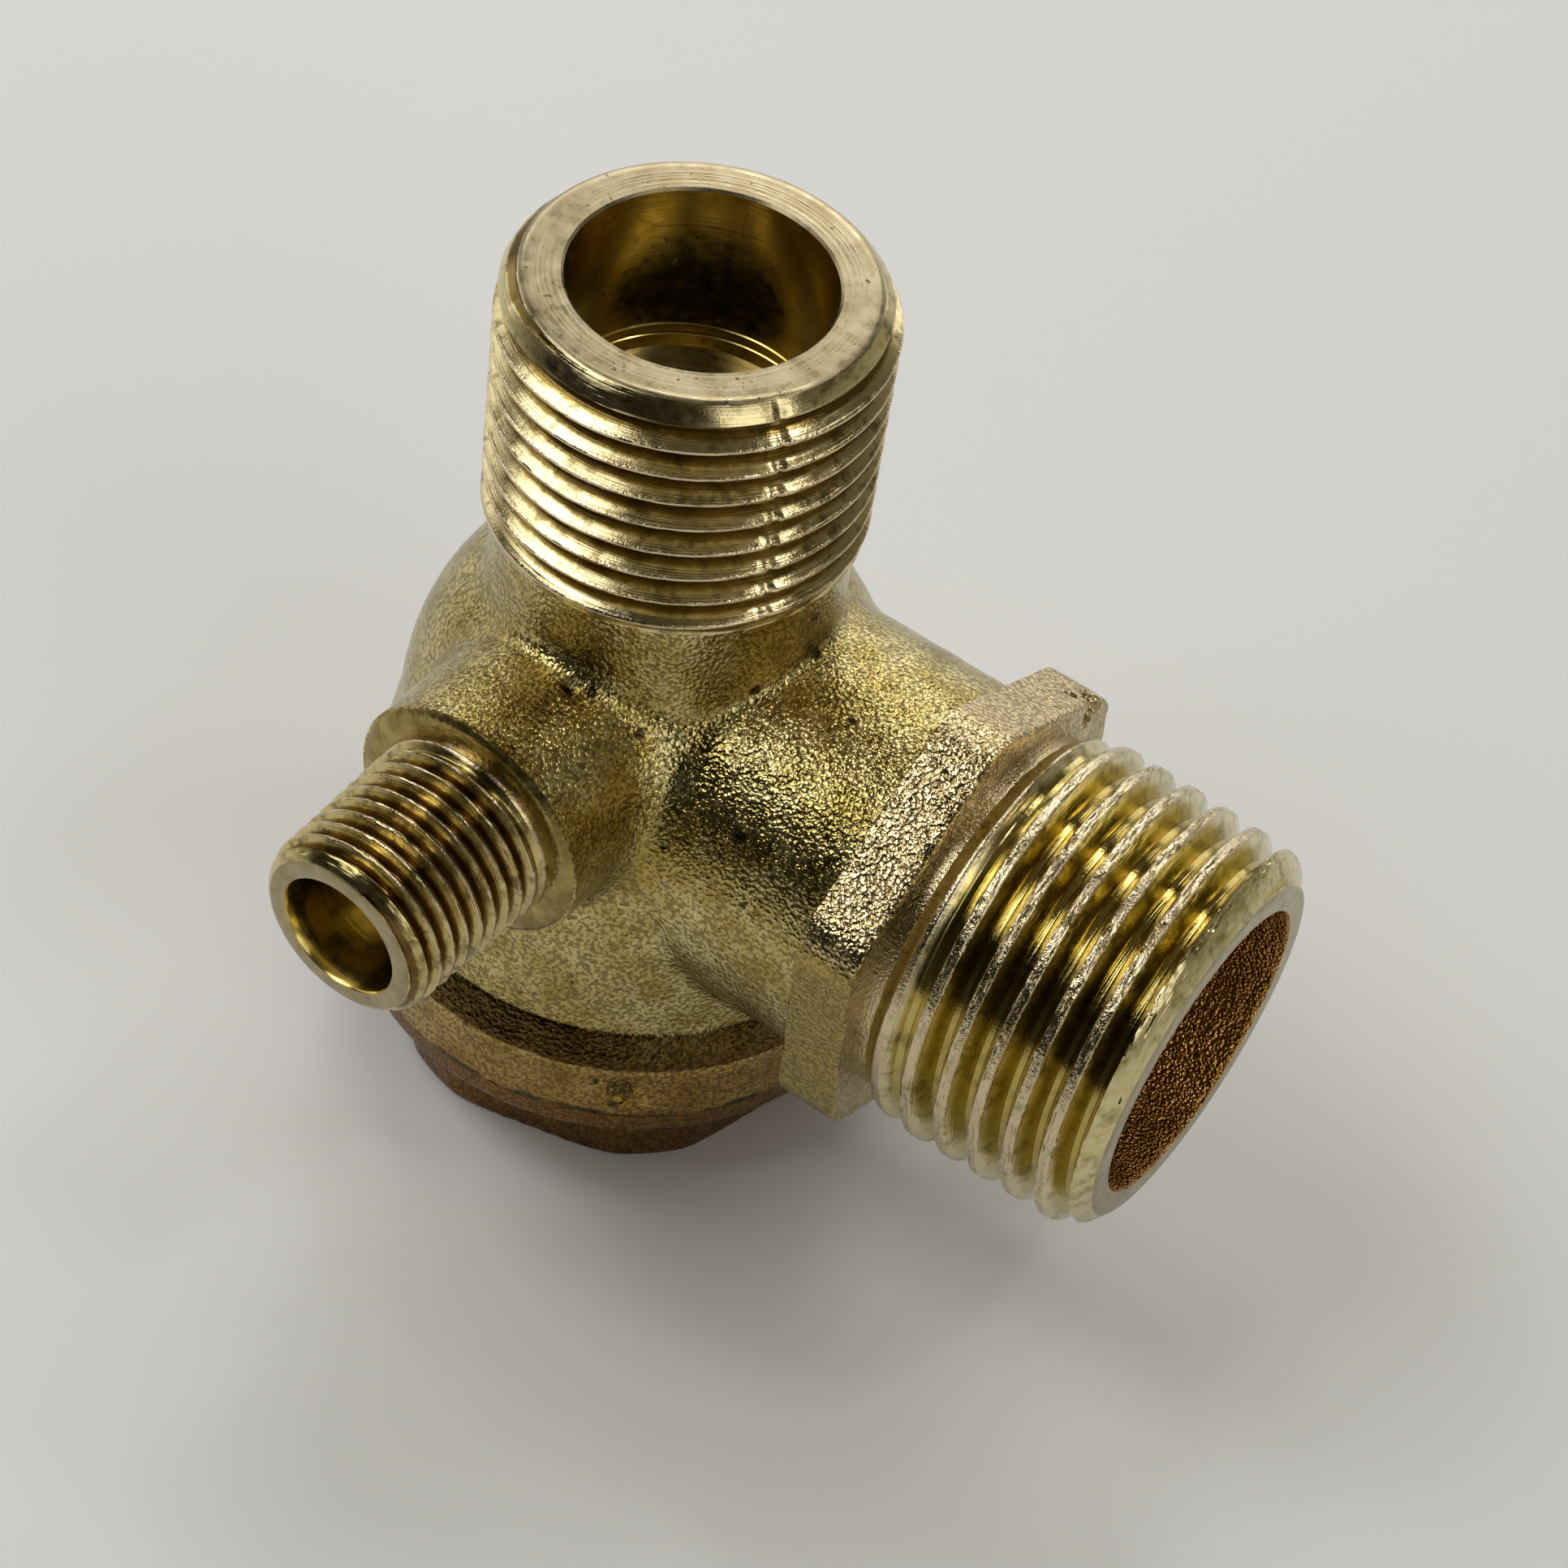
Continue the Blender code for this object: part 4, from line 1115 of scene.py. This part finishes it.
def threaded_brass(name, crest, root, roughness, torn, stain_and_shade_start=0.4, dirt_and_shade=ROOT_DIRT_AND_SHADE):
    """Cut thread: silvery crests, a brown groove of stain and painted shade, a root darkened by dirt and
    painted shadow, cutting lines along the thread, and torn crest tops.
    """
    shader = Shader(name)
    groove = shader.attribute("groove")
    blotches = shader.noise(0.5, 3.0, 0.6)
    wander = shader.math("MULTIPLY", shader.math("SUBTRACT", blotches, 0.5), STAIN_AND_SHADE_WANDER)
    depth = shader.math("ADD", groove, wander)
    # Painted shade: the groove's colour darkens from crest to root, partly stain and partly painted shade
    colour = shader.mix(shader.rescale(depth, stain_and_shade_start, stain_and_shade_start + STAIN_AND_SHADE_SOFTNESS), crest, root)
    # Painted shadow under each crest, mixed with dirt, darkens the thread's root
    colour = shader.mix(shader.rescale(depth, *DIRT_AND_SHADE_LIMITS), colour, dirt_and_shade)
    patina = shader.rescale(shader.noise(1.3, 3.0, 0.65), *PATINA_LIMITS, 0.0, PATINA_SHARE)
    colour = shader.mix(patina, colour, darker(root, PATINA_DARKNESS))
    top = shader.rescale(groove, *CREST_LIMITS)
    blush = shader.math("MULTIPLY", top, shader.rescale(blotches, *BLUSH_LIMITS))
    colour = shader.mix(blush, colour, CREST_BLUSH)
    lines = shader.bump(shader.turning(0.09), 0.009)
    grit = shader.bump(shader.noise(0.13, 2.0, 0.7), 0.006, lines)
    tears = shader.math("MULTIPLY", shader.noise(0.16, 2.0, 0.7), top)
    gloss = shader.gloss(blotches, roughness, 0.04, 0.1)
    return shader.metal(colour, gloss, shader.bump(tears, torn, grit))


def turned_finish(name, light, dark, roughness, ring, bump_depth):
    """Face or bore left by a lathe tool: rings, stains and a soft gloss."""
    shader = Shader(name)
    rings = shader.turning(ring)
    stains = shader.math("MULTIPLY", shader.tone(1.5), 1 - RING_SHARE)
    share = shader.math("ADD", stains, shader.math("MULTIPLY", rings, RING_SHARE))
    specks = shader.rescale(shader.noise(0.45, 2.0, 0.6), *FINE_SPECK_LIMITS)
    colour = shader.mix(specks, shader.mix(share, dark, light), darker(dark, DIRT_AND_SHADE_SHARE))
    gloss = shader.gloss(shader.noise(0.6), roughness, 0.05, 0.08)
    return shader.metal(colour, gloss, shader.bump(rings, bump_depth))


def grainy_brass(name, light, dark, roughness, grain, bump_depth):
    """Rough cast wall with glinting grains."""
    shader = Shader(name)
    height = shader.math("SUBTRACT", shader.noise(grain * 1.6, 2.0, 0.6), shader.cells(grain))
    colour = shader.mix(shader.tone(1.5), dark, light)
    gloss = shader.gloss(shader.noise(0.6), roughness, 0.06, 0.08)
    return shader.metal(colour, gloss, shader.bump(height, bump_depth))


def rubber(name):
    """Matte black rubber."""
    shader = Shader(name)
    colour = shader.mix(shader.noise(0.8), (0.018, 0.018, 0.018), (0.035, 0.034, 0.033))
    normal = shader.bump(shader.noise(0.15), 0.01)
    return shader.principled(Base_Color=colour, Roughness=0.6, Normal=normal)


def spring_steel(name):
    """Drawn steel wire."""
    shader = Shader(name)
    colour = shader.mix(shader.noise(0.7), (0.5, 0.5, 0.5), (0.62, 0.62, 0.61))
    return shader.metal(colour, 0.28, shader.bump(shader.noise(0.2), 0.004))


def dress(node, material):
    """Gives a CAD node its finish."""
    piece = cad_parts[node]
    piece.data.materials.clear()
    piece.data.materials.append(material)


def add_floor():
    """Pale floor that runs far past the view."""
    mesh = bpy.data.meshes.new("floor")
    corners = [(across * FLOOR_REACH, along * FLOOR_REACH, 0) for across, along in CORNER_SIGNS]
    mesh.from_pydata(corners, [], [(0, 1, 2, 3)])
    floor = new_object("floor", mesh)
    shader = Shader("floor_paint")
    mesh.materials.append(shader.principled(Base_Color=(*FLOOR_COLOUR, 1), Roughness=0.8))


def add_lamp(name, direction, distance, across, along, radiance):
    """Area lamp in a direction from the valve, facing it, as bright as radiance says."""
    lamp = bpy.data.lights.new(name, "AREA")
    lamp.shape = "RECTANGLE"
    lamp.size = across
    lamp.size_y = along
    lamp.energy = radiance * math.pi * across * along
    holder = new_object(name, lamp)
    away = Vector(direction).normalized()
    holder.location = Vector(LAMP_TARGET) * MM + away * distance
    holder.rotation_euler = away.to_track_quat("Z", "Y").to_euler()


def add_world():
    """Dim warm room: paler towards the horizon, darkest in front and overhead."""
    world = bpy.data.worlds.new("room")
    bpy.context.scene.world = world
    world.use_nodes = True
    tree = world.node_tree
    place = tree.nodes.new("ShaderNodeTexCoord").outputs["Generated"]
    height = new_node(tree, "SeparateXYZ", {0: place}).outputs["Z"]
    ramp = new_node(tree, "ValToRGB", {0: height})
    ramp.color_ramp.elements[0].color = (*HORIZON_COLOUR, 1)
    ramp.color_ramp.elements[1].position = ZENITH_HEIGHT
    ramp.color_ramp.elements[1].color = (*ZENITH_COLOUR, 1)
    sides = {0: place, 1: Vector(DARK_SIDE).normalized()}
    facing = new_node(tree, "VectorMath", sides, operation="DOT_PRODUCT").outputs["Value"]
    shade = new_node(tree, "MapRange", {"Value": facing, **DARK_SIDE_SHADE}).outputs["Result"]
    feed(tree.nodes["Background"], {"Color": ramp.outputs[0], "Strength": shade})


def add_camera():
    """Camera at the photo's place, found from the ports' ellipses."""
    camera = bpy.data.cameras.new("camera")
    camera.sensor_width = CAMERA_SENSOR
    camera.lens = CAMERA_LENS
    camera.clip_start = 0.01
    holder = new_object("camera", camera)
    right, down, forward = (Vector(axis) for axis in CAMERA_AXES)
    turn = Matrix((right, -down, -forward)).transposed()
    holder.matrix_world = Matrix.Translation(Vector(CAMERA_PLACE) * MM) @ turn.to_4x4()
    bpy.context.scene.camera = holder


forging_finish = forged_brass("blasted_brass", (0.71, 0.6, 0.28), (0.44, 0.33, 0.09), 0.19, 0.055)
# The cap's brass is browner in its own tone and painted darker as shade
cap_finish = forged_brass("dull_brass_painted_shade", (0.4, 0.27, 0.11), (0.28, 0.18, 0.06), 0.24, 0.05)
# The second colour of each thread is its groove's tone, partly stain and partly painted shade
thread_finish = threaded_brass("cut_thread", (0.73, 0.62, 0.33), (0.26, 0.18, 0.05), 0.11, 0.03)
fine_thread_finish = threaded_brass("fine_thread", (0.62, 0.51, 0.22), (0.2, 0.12, 0.03), 0.14, 0.02)
pipe_thread_finish = threaded_brass(
    "coarse_thread", (0.7, 0.61, 0.35), (0.55, 0.45, 0.14), 0.08, 0.04, stain_and_shade_start=0.3, dirt_and_shade=PIPE_ROOT
)
port_finishes = [
    thread_finish,
    turned_finish("turned_face", (0.48, 0.41, 0.26), (0.28, 0.22, 0.11), 0.28, 0.2, 0.012),
    turned_finish("bored_wall", (0.69, 0.55, 0.18), (0.5, 0.39, 0.11), 0.2, 0.2, 0.006),
    grainy_brass("cast_bore", (0.66, 0.38, 0.12), (0.42, 0.22, 0.05), 0.2, 0.17, 0.09),
    grainy_brass("shoulder", (0.42, 0.33, 0.12), (0.22, 0.155, 0.04), 0.28, 0.3, 0.02),
]

build_forging(forging_finish)
build_cap(cap_finish)
build_inlet(port_finishes)
build_outlet([pipe_thread_finish, *port_finishes[1:]])
build_unloader([fine_thread_finish, *port_finishes[1:]])
build_spring(spring_steel("spring_wire"))
dress("cap_o_ring", rubber("o_ring_rubber"))
dress("seal_disc", rubber("seal_rubber"))
build_holder(grainy_brass("holder_brass", (0.8, 0.68, 0.4), (0.72, 0.6, 0.32), 0.25, 0.3, 0.004))

add_floor()
add_world()
for lamp in LAMPS:
    add_lamp(*lamp)
add_camera()
bpy.context.scene.view_settings.view_transform = "Standard"
